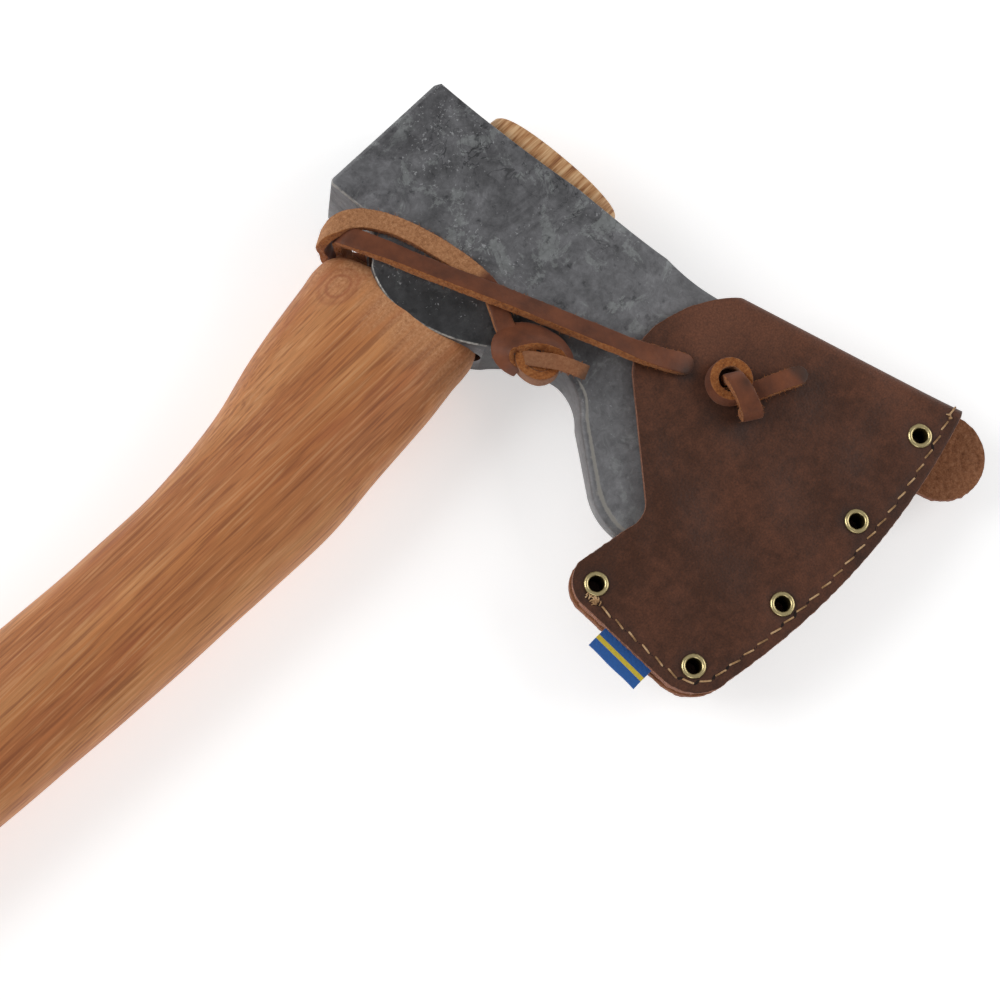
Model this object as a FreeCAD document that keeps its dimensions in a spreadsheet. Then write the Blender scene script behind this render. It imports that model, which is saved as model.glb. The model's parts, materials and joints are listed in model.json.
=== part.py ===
"""A forestry hatchet with its leather blade sheath, lying flat.

+X runs along the handle towards the head, +Y towards the poll, and +Z up from the lower cheek.
Lengths are millimetres. The design origin is on the handle's axis where the handle enters the head;
the finished parts are then set so that the origin is at the middle of the bottom of the whole object.
"""
import FreeCAD, Part
import math
import os
import Sketcher
from FreeCAD import Placement, Rotation, Vector

# ---------------------------------------------------------------- driving sizes
SIZES = {
    # head
    "poll_height": 40.0,        # size of the poll along the handle
    "poll_reach": 36.0,         # handle's axis to the poll face
    "head_thickness": 26.0,     # across the cheeks
    "poll_chamfer": 1.0,
    "edge_reach": 116.2,        # handle's axis to the middle of the cutting edge
    "edge_middle": 29.5,        # where the middle of the edge is along the handle
    "edge_radius": 146.5,       # curve of the cutting edge
    "edge_flat": 0.2,           # thickness left at the edge
    "heel_round": 3.0,
    # radii of the head's outline, in order from the underside of the poll round to its top
    "curve_under_poll": 24.0,
    "curve_lug_back": 20.0,
    "curve_lug": 40.0,
    "curve_arch": 26.0,
    "curve_beard_top": 16.0,
    "curve_beard_knee": 18.0,
    "curve_spine_low": 60.0,
    "curve_spine": 160.0,
    "curve_top": 500.0,
    # eye, tenon and its wedges
    "eye_length": 44.0,         # at the underside
    "eye_width": 21.0,
    "eye_length_top": 41.4,
    "eye_width_top": 20.0,
    "tongue_stand": 50.4,       # where the tenon ends, proud of the head
    "wedge_depth": 26.0,
    "wedge_width": 35.0,
    "wedge_thickness": 3.6,
    "wedge_tip": 0.8,
    "ring_radius": 6.0,
    "ring_wall": 1.6,
    "ring_depth": 11.0,
    # handle
    "handle_length": 430.0,     # from the shoulder to the end of the knob
    "shoulder_place": -4.0,     # where the shoulder is, just below the head
    # sheath
    "slide_angle": 19.5,        # the sheath's fold and its way off, from straight down
    "fold_inside": 31.95,       # inside of the fold, across the slide direction
    "leather": 2.3,
    "welt_thickness": 3.5,
    "welt_width": 5.0,
    "pocket_slope": 0.093,      # how fast the pocket widens from the seam to the mouth
    "pocket_start": -113.2,     # where it starts to widen
    "heel_slope": 0.3,          # the same from the heel seam
    "heel_start": -20.0,
    "heel_corner": 12.0,        # round corners of the panel
    "mouth_corner": 7.0,
    "seam_radius": 200.0,
    "curve_mouth_back": 42.0,   # radii of the mouth's outline, beside the fold and in front of it
    "curve_mouth": 17.0,
    # eyelets
    "bore_radius": 2.0,
    "barrel_wall": 0.4,
    "flange_radius": 3.1,
    "flange_thickness": 0.5,
    # stitching
    "stitch_pitch": 4.5,
    "stitch_gap": 0.9,
    "stitch_inset": 2.6,
    "thread_radius": 0.3,
    # label
    "label_length": 15.6,
    "label_stand": 6.0,         # how far it stands out of the seam
    "label_tuck": 3.4,
    "label_thickness": 0.8,
    # belt strap
    "strap_width": 23.4,
    "strap_thickness": 2.3,
    "strap_middle": 22.8,       # its middle, across the slide direction
    "strap_top": -72.4,         # its upper corners and lower round end, along the slide direction
    "strap_round": -139.9,
    "rivets_upper": -74.0,
    "rivets_lower": -121.6,
    "belt_room": 6.0,
    "rivet_cap": 4.0,
    "rivet_cap_height": 1.2,
    "rivet_shank": 1.5,
    "rivet_inner_cap": 3.0,
    "rivet_inner_share": 0.15,  # height of a rivet's inner cap as a share of the welt, so that the blade clears it
    "rivet_spread": 12.0,
    # lace
    "lace_width": 5.0,
    "lace_thickness": 2.5,
    "lace_gap": 0.2,            # room between lace and cheek
    "over_climbs": 34.0,        # how far from its slot the upper strand reaches the cheek
    "over_crosses": 64.0,       # how far it lies raised, over the other strand
    "under_climbs": 42.0,       # the same as over_climbs for the two lower strands
    "return_climbs": 38.0,
    "sheath_knot_turn": 3.4,    # middle of the knot's turn, its thickness, and its tail
    "sheath_knot_thick": 2.4,
    "sheath_tail": 16.5,
    "sheath_tail_angle": -33.0,
    "neck_knot_turn": 4.6,
    "neck_knot_thick": 2.7,
    "neck_tail": 14.5,
    "neck_tail_angle": -63.0,
    # the row's own origin, filled in once the whole object is known
    "origin_x": 0.0,
    "origin_y": 0.0,
    "origin_z": 0.0,
}

# Named points of the outlines: along the handle, towards the poll.
POINTS = {
    "poll_foot": (0.0, 36.0),
    "poll_under": (1.2, 23.5),
    "lug_back": (-8.0, 12.5),
    "lug_low": (-10.8, -1.5),
    "lug_front": (-1.2, -22.6),
    "arch_top": (9.0, -40.5),
    "beard_bend": (3.0, -52.0),
    "beard_knee": (-7.4, -66.2),
    "beard_end": (-10.7, -79.4),
    "heel": (-12.0, -107.2),
    "spine_bend": (49.9, -38.0),
    "spine_low": (53.6, -57.0),
    "top_mid": (45.3, -10.0),
    "panel_heel_top": (-30.0, -84.3),
    "panel_heel_low": (-29.3, -112.3),
    "panel_seam_start": (-17.3, -124.3),
    "panel_seam_end": (80.0, -119.3),
    "panel_far": (92.0, -75.0),
    "mouth_fold": (57.1, -59.3),
    "mouth_top": (36.5, -48.9),
    "mouth_front": (20.9, -53.0),
    "notch_start": (0.3, -77.6),
    "notch_end": (-7.5, -80.2),
    "mouth_heel": (-22.3, -77.1),
    "slot_front": (29.7, -59.6),
    "slot_back": (35.0, -57.0),
    "sheath_knot": (36.3, -73.2),
    "neck_knot": (3.8, -32.0),
    "welt_end": (74.6, -120.25),
    "lace_over_turn": (-10.7, 23.8),
    "lace_turn": (0.3, 15.0),
    "lace_cross": (9.4, -14.0),
}

# Where the eyelets are set.
EYELETS = ((-23.9, -83.9), (-21.5, -115.6), (6.2, -120.8), (35.8, -119.8), (64.5, -116.3))

# Blade thickness: distance from the middle of the edge's curve, half the thickness.
BLADE_STATIONS = ((48.0, 13.0), (55.0, 12.3), (61.0, 11.2), (70.0, 9.0), (90.0, 5.5), (110.0, 3.7),
                  (130.0, 2.2), (137.0, 1.6), (142.0, 0.9))

# Handle stations: name, distance from the shoulder, height of the middle, depth, thickness.
HANDLE_STATIONS = (
    ("shoulder", 0.0, 0.4, 41.0, 23.2),
    ("collar", 5.0, 0.3, 44.4, 25.0),
    ("neck", 12.0, -0.5, 46.0, 25.8),
    ("throat", 26.0, -1.8, 46.4, 25.8),
    ("cheek", 41.0, -4.0, 44.4, 25.4),
    ("bow", 58.0, -7.2, 41.4, 24.6),
    ("waist", 78.0, -8.6, 38.2, 24.0),
    ("belly", 106.0, -8.2, 37.0, 23.6),
    ("middle", 146.0, -6.2, 37.2, 23.6),
    ("reach", 196.0, -3.4, 36.0, 23.2),
    ("grip", 246.0, -2.2, 34.0, 22.6),
    ("palm", 306.0, -4.6, 33.6, 22.6),
    ("hook", 356.0, -10.4, 36.0, 23.6),
    ("knob", 402.0, -18.4, 43.0, 25.6),
    ("toe", 430.0, -24.2, 48.0, 26.4),
    ("end", 446.0, -27.4, 44.0, 23.0),
)


class Size:
    """A length that keeps its value together with the sheet formula that it comes from."""

    def __init__(self, value, formula):
        self.value = float(value)
        self.formula = formula

    def __add__(self, other):
        return Size(self.value + number(other), f"({self.formula} + {words(other)})")

    def __sub__(self, other):
        return Size(self.value - number(other), f"({self.formula} - {words(other)})")

    def __mul__(self, other):
        return Size(self.value * number(other), f"({self.formula} * {words(other)})")

    def __truediv__(self, other):
        return Size(self.value / number(other), f"({self.formula} / {words(other)})")

    def __neg__(self):
        return Size(-self.value, f"(0 - {self.formula})")


def number(item):
    """The plain value of a Size or a number."""
    return item.value if isinstance(item, Size) else float(item)


def words(item):
    """The formula of a Size or a number."""
    return item.formula if isinstance(item, Size) else f"{item:.6f}"


def fixed(value):
    """A number written out as a Size."""
    return Size(value, f"{value:.6f}")


doc = FreeCAD.newDocument("hatchet")
sheet = doc.addObject("Spreadsheet::Sheet", "Sizes")
cells = {}


def set_size(alias, value):
    """Writes one plain number into the sheet under its alias."""
    if alias not in cells:
        cells[alias] = f"A{len(cells) + 1}"
        sheet.set(cells[alias], f"{value:.6f}")
        sheet.setAlias(cells[alias], alias)
    else:
        sheet.set(cells[alias], f"{value:.6f}")


def size(alias):
    """The named size."""
    return Size(SIZES[alias], f"Sizes.{alias}")


def point(name):
    """The named point, as two sizes."""
    across, up = POINTS[name]
    return Size(across, f"Sizes.{name}_x"), Size(up, f"Sizes.{name}_y")


for alias, value in SIZES.items():
    set_size(alias, value)
for name, (across, up) in POINTS.items():
    set_size(f"{name}_x", across)
    set_size(f"{name}_y", up)
for order, (across, up) in enumerate(EYELETS, 1):
    set_size(f"eyelet_{order}_x", across)
    set_size(f"eyelet_{order}_y", up)
for order, (distance, half) in enumerate(BLADE_STATIONS, 1):
    set_size(f"blade_{order}_at", distance)
    set_size(f"blade_{order}_half", half)
for name, distance, middle, depth, thickness in HANDLE_STATIONS:
    set_size(f"{name}_at", distance)
    set_size(f"{name}_middle", middle)
    set_size(f"{name}_depth", depth)
    set_size(f"{name}_thickness", thickness)
doc.recompute()


# ---------------------------------------------------------------- helpers
def bind(item, **sizes):
    """Binds properties of an object to sizes; a double underscore stands for a dot."""
    for prop, value in sizes.items():
        item.setExpression(prop.replace("__", "."), words(value))


def body_of(name, frame=None):
    """A new body, set in a frame of its own if one is given."""
    body = doc.addObject("PartDesign::Body", name)
    if frame is not None:
        body.Placement = frame
    return body


def sketch_on(body, plane, name):
    """A sketch on one of the body's origin planes."""
    support = [feature for feature in body.Origin.OriginFeatures if feature.Role == plane][0]
    sketch = body.newObject("Sketcher::SketchObject", name)
    sketch.AttachmentSupport = (support, [""])
    sketch.MapMode = "FlatFace"
    return sketch


def arc_between(start, end, radius):
    """The short arc from start to end; it turns left for a radius above zero and right below zero."""
    chord = end - start
    half = chord.Length / 2
    left = Vector(-chord.y, chord.x, 0) / chord.Length
    side = 1 if radius > 0 else -1
    centre = (start + end) / 2 + left * side * math.sqrt(max(radius * radius - half * half, 0))
    angles = [math.atan2(p.y - centre.y, p.x - centre.x) for p in (start, end)]
    first, last = angles if radius > 0 else angles[::-1]
    if last < first:
        last += 2 * math.pi
    return Part.ArcOfCircle(Part.Circle(centre, Vector(0, 0, 1), abs(radius)), first, last)


def draw(sketch, stops):
    """Draws a closed outline: stops are (x, y, radius of the edge that follows, or None for a line)."""
    corners = [Vector(number(stop[0]), number(stop[1]), 0) for stop in stops]
    ends = []
    for order, stop in enumerate(stops):
        start, end = corners[order], corners[(order + 1) % len(stops)]
        if stop[2] is None:
            edge = sketch.addGeometry(Part.LineSegment(start, end))
            ends.append((edge, 1, 2))
            continue
        radius = number(stop[2])
        edge = sketch.addGeometry(arc_between(start, end, radius))
        ends.append((edge, 1, 2) if radius > 0 else (edge, 2, 1))
        rule = sketch.addConstraint(Sketcher.Constraint("Radius", edge, abs(radius)))
        sketch.setExpression(f"Constraints[{rule}]", words(stop[2] if radius > 0 else -stop[2]))
    for order, stop in enumerate(stops):
        edge, first, last = ends[order]
        after = ends[(order + 1) % len(stops)]
        sketch.addConstraint(Sketcher.Constraint("Coincident", edge, last, after[0], after[1]))
        for kind, place in (("DistanceX", stop[0]), ("DistanceY", stop[1])):
            rule = sketch.addConstraint(Sketcher.Constraint(kind, -1, 1, edge, first, number(place)))
            sketch.setExpression(f"Constraints[{rule}]", words(place))


def pad(body, sketch, length, name, both_ways=True):
    """Pads a sketch, by default half the length to each side."""
    feature = body.newObject("PartDesign::Pad", name)
    feature.Profile = sketch
    feature.SideType = "Symmetric" if both_ways else "One side"
    bind(feature, Length=length)
    return feature


def prism(name, plane, stops, length, frame=None):
    """A body padded from one outline."""
    body = body_of(name, frame)
    sketch = sketch_on(body, plane, name + "_outline")
    draw(sketch, stops)
    pad(body, sketch, length, name + "_pad")
    return body


def turned(name, stops, frame=None):
    """A body revolved about its own Z axis from a profile of (radius, height) stops."""
    body = body_of(name, frame)
    sketch = sketch_on(body, "XZ_Plane", name + "_profile")
    draw(sketch, stops)
    feature = body.newObject("PartDesign::Revolution", name + "_turn")
    feature.Profile = sketch
    feature.ReferenceAxis = (sketch, ["V_Axis"])
    feature.Angle = 360
    return body


def combine(kind, name, base, tool):
    """A boolean of two shapes: Cut or Common."""
    item = doc.addObject(f"Part::{kind}", name)
    item.Base = base
    item.Tool = tool
    return item


def cut(name, base, *tools):
    """Base less each tool in turn."""
    for order, tool in enumerate(tools, 1):
        base = combine("Cut", f"{name}_{order}", base, tool)
    return base


def fuse(name, *shapes):
    """All the shapes as one."""
    item = doc.addObject("Part::MultiFuse", name)
    item.Shapes = list(shapes)
    return item


def oval(name, place, middle, depth, thickness):
    """An upright oval section across the handle."""
    item = doc.addObject("Part::Ellipse", name)
    item.Placement = Placement(Vector(), Rotation(Vector(0, 1, 0), Vector(0, 0, 1), Vector(1, 0, 0), "XYZ"))
    bind(item, MajorRadius=depth / 2, MinorRadius=thickness / 2,
         Placement__Base__x=place, Placement__Base__y=middle)
    return item


def loft(name, sections):
    """A smooth solid through the sections."""
    item = doc.addObject("Part::Loft", name)
    item.Sections = sections
    item.Solid = True
    return item


parts = {}


def finish_part(node, shape):
    """Sets a finished sub-part in the row's own frame under its node's name."""
    placed = doc.addObject("Part::Compound", node)
    placed.Label = node
    placed.Links = [shape]
    bind(placed, Placement__Base__x=size("origin_x"), Placement__Base__y=size("origin_y"),
         Placement__Base__z=size("origin_z"))
    parts[node] = placed


LONG = 400.0   # longer than any part across the head
slide_turn = Rotation(Vector(0, 0, 1), SIZES["slide_angle"])
slide_frame = Placement(Vector(), slide_turn)


def across_slide(x, y):
    """A design point in the sheath's own frame, whose Y axis is the way that the sheath slides."""
    turned_back = slide_turn.inverted().multVec(Vector(x, y, 0))
    return turned_back.x, turned_back.y


# ---------------------------------------------------------------- head
half_head = size("head_thickness") / 2
edge_centre = (size("edge_middle"), size("edge_radius") - size("edge_reach"))


def on_edge(x):
    """Where the cutting edge is at x."""
    run = x - SIZES["edge_middle"]
    return number(edge_centre[1]) - math.sqrt(SIZES["edge_radius"] ** 2 - run * run)


# The spine runs beside the sheath's fold down to the toe.
spine_gap = number(point("spine_low")[0]), number(point("spine_low")[1])
spine_reach, spine_top = across_slide(*spine_gap)
toe_guess = slide_turn.multVec(Vector(spine_reach, -127.0, 0))
toe = (fixed(toe_guess.x), fixed(on_edge(toe_guess.x)))
heel_x, heel_y = point("heel")
heel_foot_x = heel_x + size("heel_round")
heel_foot = (heel_foot_x, fixed(on_edge(number(heel_foot_x))))

head_side = prism("head_side", "XY_Plane", [
    (*point("poll_foot"), None),
    (*point("poll_under"), -size("curve_under_poll")),
    (*point("lug_back"), size("curve_lug_back")),
    (*point("lug_low"), size("curve_lug")),
    (*point("lug_front"), -size("curve_arch")),
    (*point("arch_top"), -size("curve_beard_top")),
    (*point("beard_bend"), None),
    (*point("beard_knee"), size("curve_beard_knee")),
    (*point("beard_end"), None),
    (heel_x, heel_y, size("heel_round")),
    (*heel_foot, size("edge_radius")),
    (*toe, None),
    (*point("spine_low"), -size("curve_spine_low")),
    (*point("spine_bend"), -size("curve_spine")),
    (*point("top_mid"), -size("curve_top")),
    (size("poll_height"), size("poll_reach"), None),
], size("head_thickness") + 4)

blade_out = [(Size(d, f"Sizes.blade_{n}_at"), Size(h, f"Sizes.blade_{n}_half"))
             for n, (d, h) in enumerate(BLADE_STATIONS, 1)]
lens = [(fixed(0.0), half_head, None)]
lens += [(distance, half, None) for distance, half in blade_out]
lens += [(size("edge_radius"), size("edge_flat") / 2, None), (size("edge_radius"), size("edge_flat") / -2, None)]
lens += [(distance, -half, None) for distance, half in reversed(blade_out)]
lens += [(fixed(0.0), -half_head, None)]
head_lens = turned("head_lens", lens, Placement(Vector(0, 0, 0), Rotation()))
bind(head_lens, Placement__Base__x=edge_centre[0], Placement__Base__y=edge_centre[1])
head_blank = combine("Common", "head_blank", head_side, head_lens)

head_chamfered = doc.addObject("Part::Chamfer", "head_chamfered")
head_chamfered.Base = head_blank
doc.recompute()
poll_edges = [order for order, edge in enumerate(head_blank.Shape.Edges, 1)
              if edge.BoundBox.YMin > SIZES["poll_reach"] - 0.1]
head_chamfered.Edges = [(order, SIZES["poll_chamfer"], SIZES["poll_chamfer"]) for order in poll_edges]

eye_at = fixed(-14.0)
eye_core = loft("eye_core", [
    oval("eye_foot", eye_at, fixed(0.0), size("eye_length") + 0.6, size("eye_width") + 0.2),
    oval("eye_mouth", size("tongue_stand"), fixed(0.0), size("eye_length_top"), size("eye_width_top")),
])
axe_head = combine("Cut", "head_with_eye", head_chamfered, eye_core)
finish_part("axe_head", axe_head)

# ---------------------------------------------------------------- handle and its wedges
sections = []
for name, distance, middle, depth, thickness in HANDLE_STATIONS:
    station = Size(distance, f"Sizes.{name}_at")
    if name in ("hook", "knob", "toe", "end"):   # the knob keeps its shape when the length changes
        station = size("handle_length") - (Size(HANDLE_STATIONS[-1][1], "Sizes.end_at") - station)
    sections.append(oval(name + "_section", size("shoulder_place") - station, Size(middle, f"Sizes.{name}_middle"),
                         Size(depth, f"Sizes.{name}_depth"), Size(thickness, f"Sizes.{name}_thickness")))
handle_blank = fuse("handle_blank", loft("handle_loft", sections), eye_core)

wedge_blank = prism("wedge_blank", "XZ_Plane", [
    (size("tongue_stand") - size("wedge_depth"), size("wedge_tip") / -2, None),
    (size("tongue_stand"), size("wedge_thickness") / -2, None),
    (size("tongue_stand"), size("wedge_thickness") / 2, None),
    (size("tongue_stand") - size("wedge_depth"), size("wedge_tip") / 2, None),
], size("wedge_width"))

ring_frame = Placement(Vector(), Rotation(Vector(0, 1, 0), 90))
ring_wedge = turned("ring_wedge_body", [
    (size("ring_radius"), fixed(0.0), None),
    (size("ring_radius") + size("ring_wall"), fixed(0.0), None),
    (size("ring_radius") + 0.2, -size("ring_depth"), None),
    (size("ring_radius"), -size("ring_depth"), None),
], ring_frame)
bind(ring_wedge, Placement__Base__x=size("tongue_stand"))
finish_part("ring_wedge", ring_wedge)
finish_part("eye_wedge", cut("eye_wedge_body", wedge_blank, ring_wedge))
finish_part("handle", cut("handle_body", handle_blank, axe_head, wedge_blank, ring_wedge))

# ---------------------------------------------------------------- sheath pocket and shell
half_welt = size("welt_thickness") / 2
mouth_reach = 90.0    # well past the mouth
fold_outside = size("fold_inside") + size("leather")


def pocket(name, grow):
    """The pocket between the panels, grown outwards by a thickness: flat along the seams, then widening."""
    flat = half_welt + grow
    slab = prism(name + "_slab", "XY_Plane", [
        (fixed(-60.0), fixed(-150.0), None),
        (fixed(110.0), fixed(-150.0), None),
        (fixed(110.0), fixed(-30.0), None),
        (fixed(-60.0), fixed(-30.0), None),
    ], flat * 2)
    wide = flat + size("pocket_slope") * mouth_reach
    far = size("pocket_start") + mouth_reach
    from_edge = prism(name + "_from_edge", "YZ_Plane", [
        (size("pocket_start"), -flat, None),
        (far, -wide, None),
        (far, wide, None),
        (size("pocket_start"), flat, None),
    ], fixed(LONG))
    broad = flat + size("heel_slope") * 30.0
    ramp_end = size("heel_start") + 30.0
    from_heel = prism(name + "_from_heel", "XZ_Plane", [
        (size("heel_start"), -flat, None),
        (ramp_end, -broad, None),
        (fixed(110.0), -broad, None),
        (fixed(110.0), broad, None),
        (ramp_end, broad, None),
        (size("heel_start"), flat, None),
    ], fixed(LONG))
    return fuse(name, slab, combine("Common", name + "_roof", from_edge, from_heel))


def before_fold(name, reach):
    """Everything on the blade's side of the fold, up to a reach across the slide direction."""
    return prism(name, "XY_Plane", [
        (reach - 160.0, fixed(-220.0), None),
        (reach, fixed(-220.0), None),
        (reach, fixed(20.0), None),
        (reach - 160.0, fixed(20.0), None),
    ], fixed(60.0), slide_frame)


panel_stops = [
    (*point("panel_heel_top"), None),
    (*point("panel_heel_low"), size("heel_corner")),
    (*point("panel_seam_start"), size("seam_radius")),
    (*point("panel_seam_end"), None),
    (*point("panel_far"), None),
    (*point("mouth_fold"), size("curve_mouth_back")),
    (*point("mouth_top"), size("curve_mouth")),
    (*point("mouth_front"), None),
    (*point("notch_start"), -size("mouth_corner")),
    (*point("notch_end"), None),
    (*point("mouth_heel"), size("mouth_corner") + 0.6),
]
panel_cutter = prism("panel_cutter", "XY_Plane", panel_stops, fixed(60.0))
shell_outside = combine("Common", "shell_outside", pocket("outer_pocket", size("leather")),
                        before_fold("outer_fold", fold_outside))
shell_inside = combine("Common", "shell_inside", pocket("inner_pocket", fixed(0.0)),
                       before_fold("inner_fold", size("fold_inside")))
shell_folded = combine("Cut", "shell_folded", shell_outside, shell_inside)
shell_blank = combine("Common", "shell_blank", shell_folded, panel_cutter)

doc.recompute()


def panel_height(x, y):
    """Half the outer thickness of the sheath at a design point."""
    flat = SIZES["welt_thickness"] / 2
    rise = min(SIZES["pocket_slope"] * (y - SIZES["pocket_start"]), SIZES["heel_slope"] * (x - SIZES["heel_start"]))
    return flat + max(rise, 0) + SIZES["leather"]


# ---------------------------------------------------------------- eyelets
seam_height = half_welt + size("leather")


def eyelet(order):
    """A rolled brass eyelet, its washer and the hole that both need."""
    place = {"Placement__Base__x": Size(EYELETS[order - 1][0], f"Sizes.eyelet_{order}_x"),
             "Placement__Base__y": Size(EYELETS[order - 1][1], f"Sizes.eyelet_{order}_y")}
    barrel = size("bore_radius") + size("barrel_wall")
    top = seam_height + size("flange_thickness")
    tube = turned(f"eyelet_{order}_body", [
        (size("bore_radius"), -top, None),
        (barrel, -top, None),
        (barrel, seam_height, None),
        (size("flange_radius"), seam_height, None),
        (size("flange_radius") - 0.4, top, None),
        (size("bore_radius"), top, None),
    ])
    washer = turned(f"washer_{order}_body", [
        (barrel, -top, None),
        (size("flange_radius") + 0.2, -top, None),
        (size("flange_radius") + 0.2, -seam_height, None),
        (barrel, -seam_height, None),
    ])
    hole = turned(f"eyelet_{order}_hole", [
        (fixed(0.0), fixed(-20.0), None),
        (barrel, fixed(-20.0), None),
        (barrel, fixed(20.0), None),
        (fixed(0.0), fixed(20.0), None),
    ])
    for item in (tube, washer, hole):
        bind(item, **place)
    finish_part(f"eyelet_{order}", tube)
    finish_part(f"eyelet_washer_{order}", washer)
    return hole


eyelet_holes = fuse("eyelet_holes", *[eyelet(order) for order in range(1, len(EYELETS) + 1)])

# ---------------------------------------------------------------- label and welt
label_top = point("panel_heel_top")[1] - 9.0
label_foot = label_top - size("label_length")
label = prism("label_body", "XY_Plane", [
    (point("panel_heel_top")[0] - size("label_stand"), label_foot, None),
    (point("panel_heel_low")[0] + size("label_tuck") - 0.6, label_foot, None),
    (point("panel_heel_low")[0] + size("label_tuck") - 0.6, label_top, None),
    (point("panel_heel_top")[0] - size("label_stand"), label_top, None),
], size("label_thickness"))
bind(label, Placement__Base__z=half_welt - size("label_thickness") / 2)
finish_part("woven_label", label)

seam_end = point("welt_end")
welt_blank = prism("welt_blank", "XY_Plane", [
    (*point("panel_heel_top"), None),
    (*point("panel_heel_low"), size("heel_corner")),
    (*point("panel_seam_start"), size("seam_radius")),
    (*seam_end, None),
    (seam_end[0] - 0.9, seam_end[1] + size("welt_width"), size("welt_width") - size("seam_radius")),
    (point("panel_seam_start")[0] + 0.2, point("panel_seam_start")[1] + size("welt_width"),
     size("welt_width") - size("heel_corner")),
    (point("panel_heel_low")[0] + size("welt_width"), point("panel_heel_low")[1] + 0.2, None),
    (point("panel_heel_top")[0] + size("welt_width"), point("panel_heel_top")[1], None),
], size("welt_thickness"))
finish_part("welt", cut("welt_body", welt_blank, eyelet_holes, label))

# ---------------------------------------------------------------- stitching
inset = SIZES["stitch_inset"]
corner_x, corner_y = POINTS["panel_heel_low"][0] + SIZES["heel_corner"], POINTS["panel_heel_low"][1]
corner_run = SIZES["heel_corner"] - inset
seam_x, seam_y = POINTS["panel_seam_start"]
seam_run = SIZES["seam_radius"] - inset
seam_arc = arc_between(Vector(seam_x, seam_y, 0), Vector(*POINTS["panel_seam_end"], 0), SIZES["seam_radius"])


def seam_point(distance):
    """The stitch line at a distance from its upper end at the heel: down, round the corner, along the edge."""
    straight = POINTS["panel_heel_top"][1] - 3.6 - corner_y
    if distance < straight:
        return Vector(corner_x - corner_run, corner_y + straight - distance, 0)
    turn = (distance - straight) / corner_run
    first = math.atan2(seam_y - seam_arc.Center.y, seam_x - seam_arc.Center.x)
    if turn < math.pi / 2 + 0.02:
        return Vector(corner_x - corner_run * math.cos(turn), corner_y - corner_run * math.sin(turn), 0)
    along = (distance - straight - corner_run * (math.pi / 2 + 0.02)) / seam_run
    angle = first + along
    return seam_arc.Center + Vector(math.cos(angle), math.sin(angle), 0) * seam_run


def stitches(name, height):
    """One row of stitches on a face of the sheath, all in one node."""
    rods = []
    distance = 0.0
    while seam_point(distance).x < number(seam_end[0]):
        start = seam_point(distance)
        end = seam_point(distance + SIZES["stitch_pitch"] - SIZES["stitch_gap"])
        start.z = end.z = height
        rods.append(Part.makeCylinder(SIZES["thread_radius"], (end - start).Length, start, end - start))
        distance += SIZES["stitch_pitch"]
    row = doc.addObject("Part::Feature", name)
    row.Shape = Part.makeCompound(rods)
    return row


stitch_height = number(seam_height) + SIZES["thread_radius"] + 0.02
finish_part("seam_thread_upper", stitches("upper_row", stitch_height))
finish_part("seam_thread_lower", stitches("lower_row", -stitch_height))

# ---------------------------------------------------------------- belt strap and its rivets
strap_x = SIZES["strap_middle"]


def strap_seat(run):
    """Height of the lower panel under the strap's middle, at a place along the slide direction."""
    spot = slide_turn.multVec(Vector(strap_x, run, 0))
    return -panel_height(spot.x, spot.y)


BEDDED = 0.3     # how far the strap's blank sinks into the panel before it is cut to lie on it
UNDER_EYELET = -0.65    # how far the tab stands off to pass the lowest washer
strap_inner = [(-66.0, BEDDED), (-79.0, BEDDED), (-86.0, -SIZES["belt_room"]), (-110.0, -SIZES["belt_room"]),
               (-116.5, BEDDED), (-126.0, BEDDED), (-127.6, UNDER_EYELET), (-155.0, UNDER_EYELET)]
strap_line = [(run, strap_seat(min(max(run, -137.0), -66.0)) + lift) for run, lift in strap_inner]
strap_stops = [(fixed(run), fixed(height), None) for run, height in strap_line]
strap_stops += [(fixed(run), fixed(height) - size("strap_thickness"), None) for run, height in reversed(strap_line)]
strap_bar = prism("strap_bar", "YZ_Plane", strap_stops, size("strap_width"), slide_frame)
strap_shift = slide_turn.multVec(Vector(strap_x, 0, 0))
strap_bar.Placement = Placement(strap_shift, slide_turn)
strap_half = size("strap_width") / 2
strap_plan = prism("strap_plan", "XY_Plane", [
    (size("strap_middle") - strap_half, size("strap_round"), strap_half + 0.001),
    (size("strap_middle"), size("strap_round") - strap_half, strap_half + 0.001),
    (size("strap_middle") + strap_half, size("strap_round"), None),
    (size("strap_middle") + strap_half, size("strap_top"), size("rivet_cap")),
    (size("strap_middle") + strap_half - size("rivet_cap"), size("strap_top") + size("rivet_cap"), None),
    (size("strap_middle") - strap_half + size("rivet_cap"), size("strap_top") + size("rivet_cap"), size("rivet_cap")),
    (size("strap_middle") - strap_half, size("strap_top"), None),
], fixed(60.0), slide_frame)
strap_blank = combine("Common", "strap_blank", strap_bar, strap_plan)


def rivet(order, run, side):
    """A two-part cap rivet through the strap and the lower panel."""
    spot = slide_turn.multVec(Vector(strap_x + side * SIZES["rivet_spread"] / 2, run, 0))
    seat = strap_seat(run)
    cap = size("welt_thickness") * size("rivet_inner_share")
    outside = fixed(seat - SIZES["strap_thickness"] + BEDDED)
    inside = fixed(-panel_height(spot.x, spot.y) + SIZES["leather"])
    item = turned(f"rivet_{order}_body", [
        (fixed(0.0), outside - size("rivet_cap_height"), None),
        (size("rivet_cap") - 1.2, outside - size("rivet_cap_height"), None),
        (size("rivet_cap"), outside - 0.3, None),
        (size("rivet_cap"), outside + 0.1, None),
        (size("rivet_shank"), outside + 0.1, None),
        (size("rivet_shank"), inside, None),
        (size("rivet_inner_cap"), inside, None),
        (size("rivet_inner_cap"), inside + cap, None),
        (fixed(0.0), inside + cap, None),
    ], Placement(Vector(spot.x, spot.y, 0), Rotation()))
    finish_part(f"strap_rivet_{order}", item)
    return item


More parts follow.
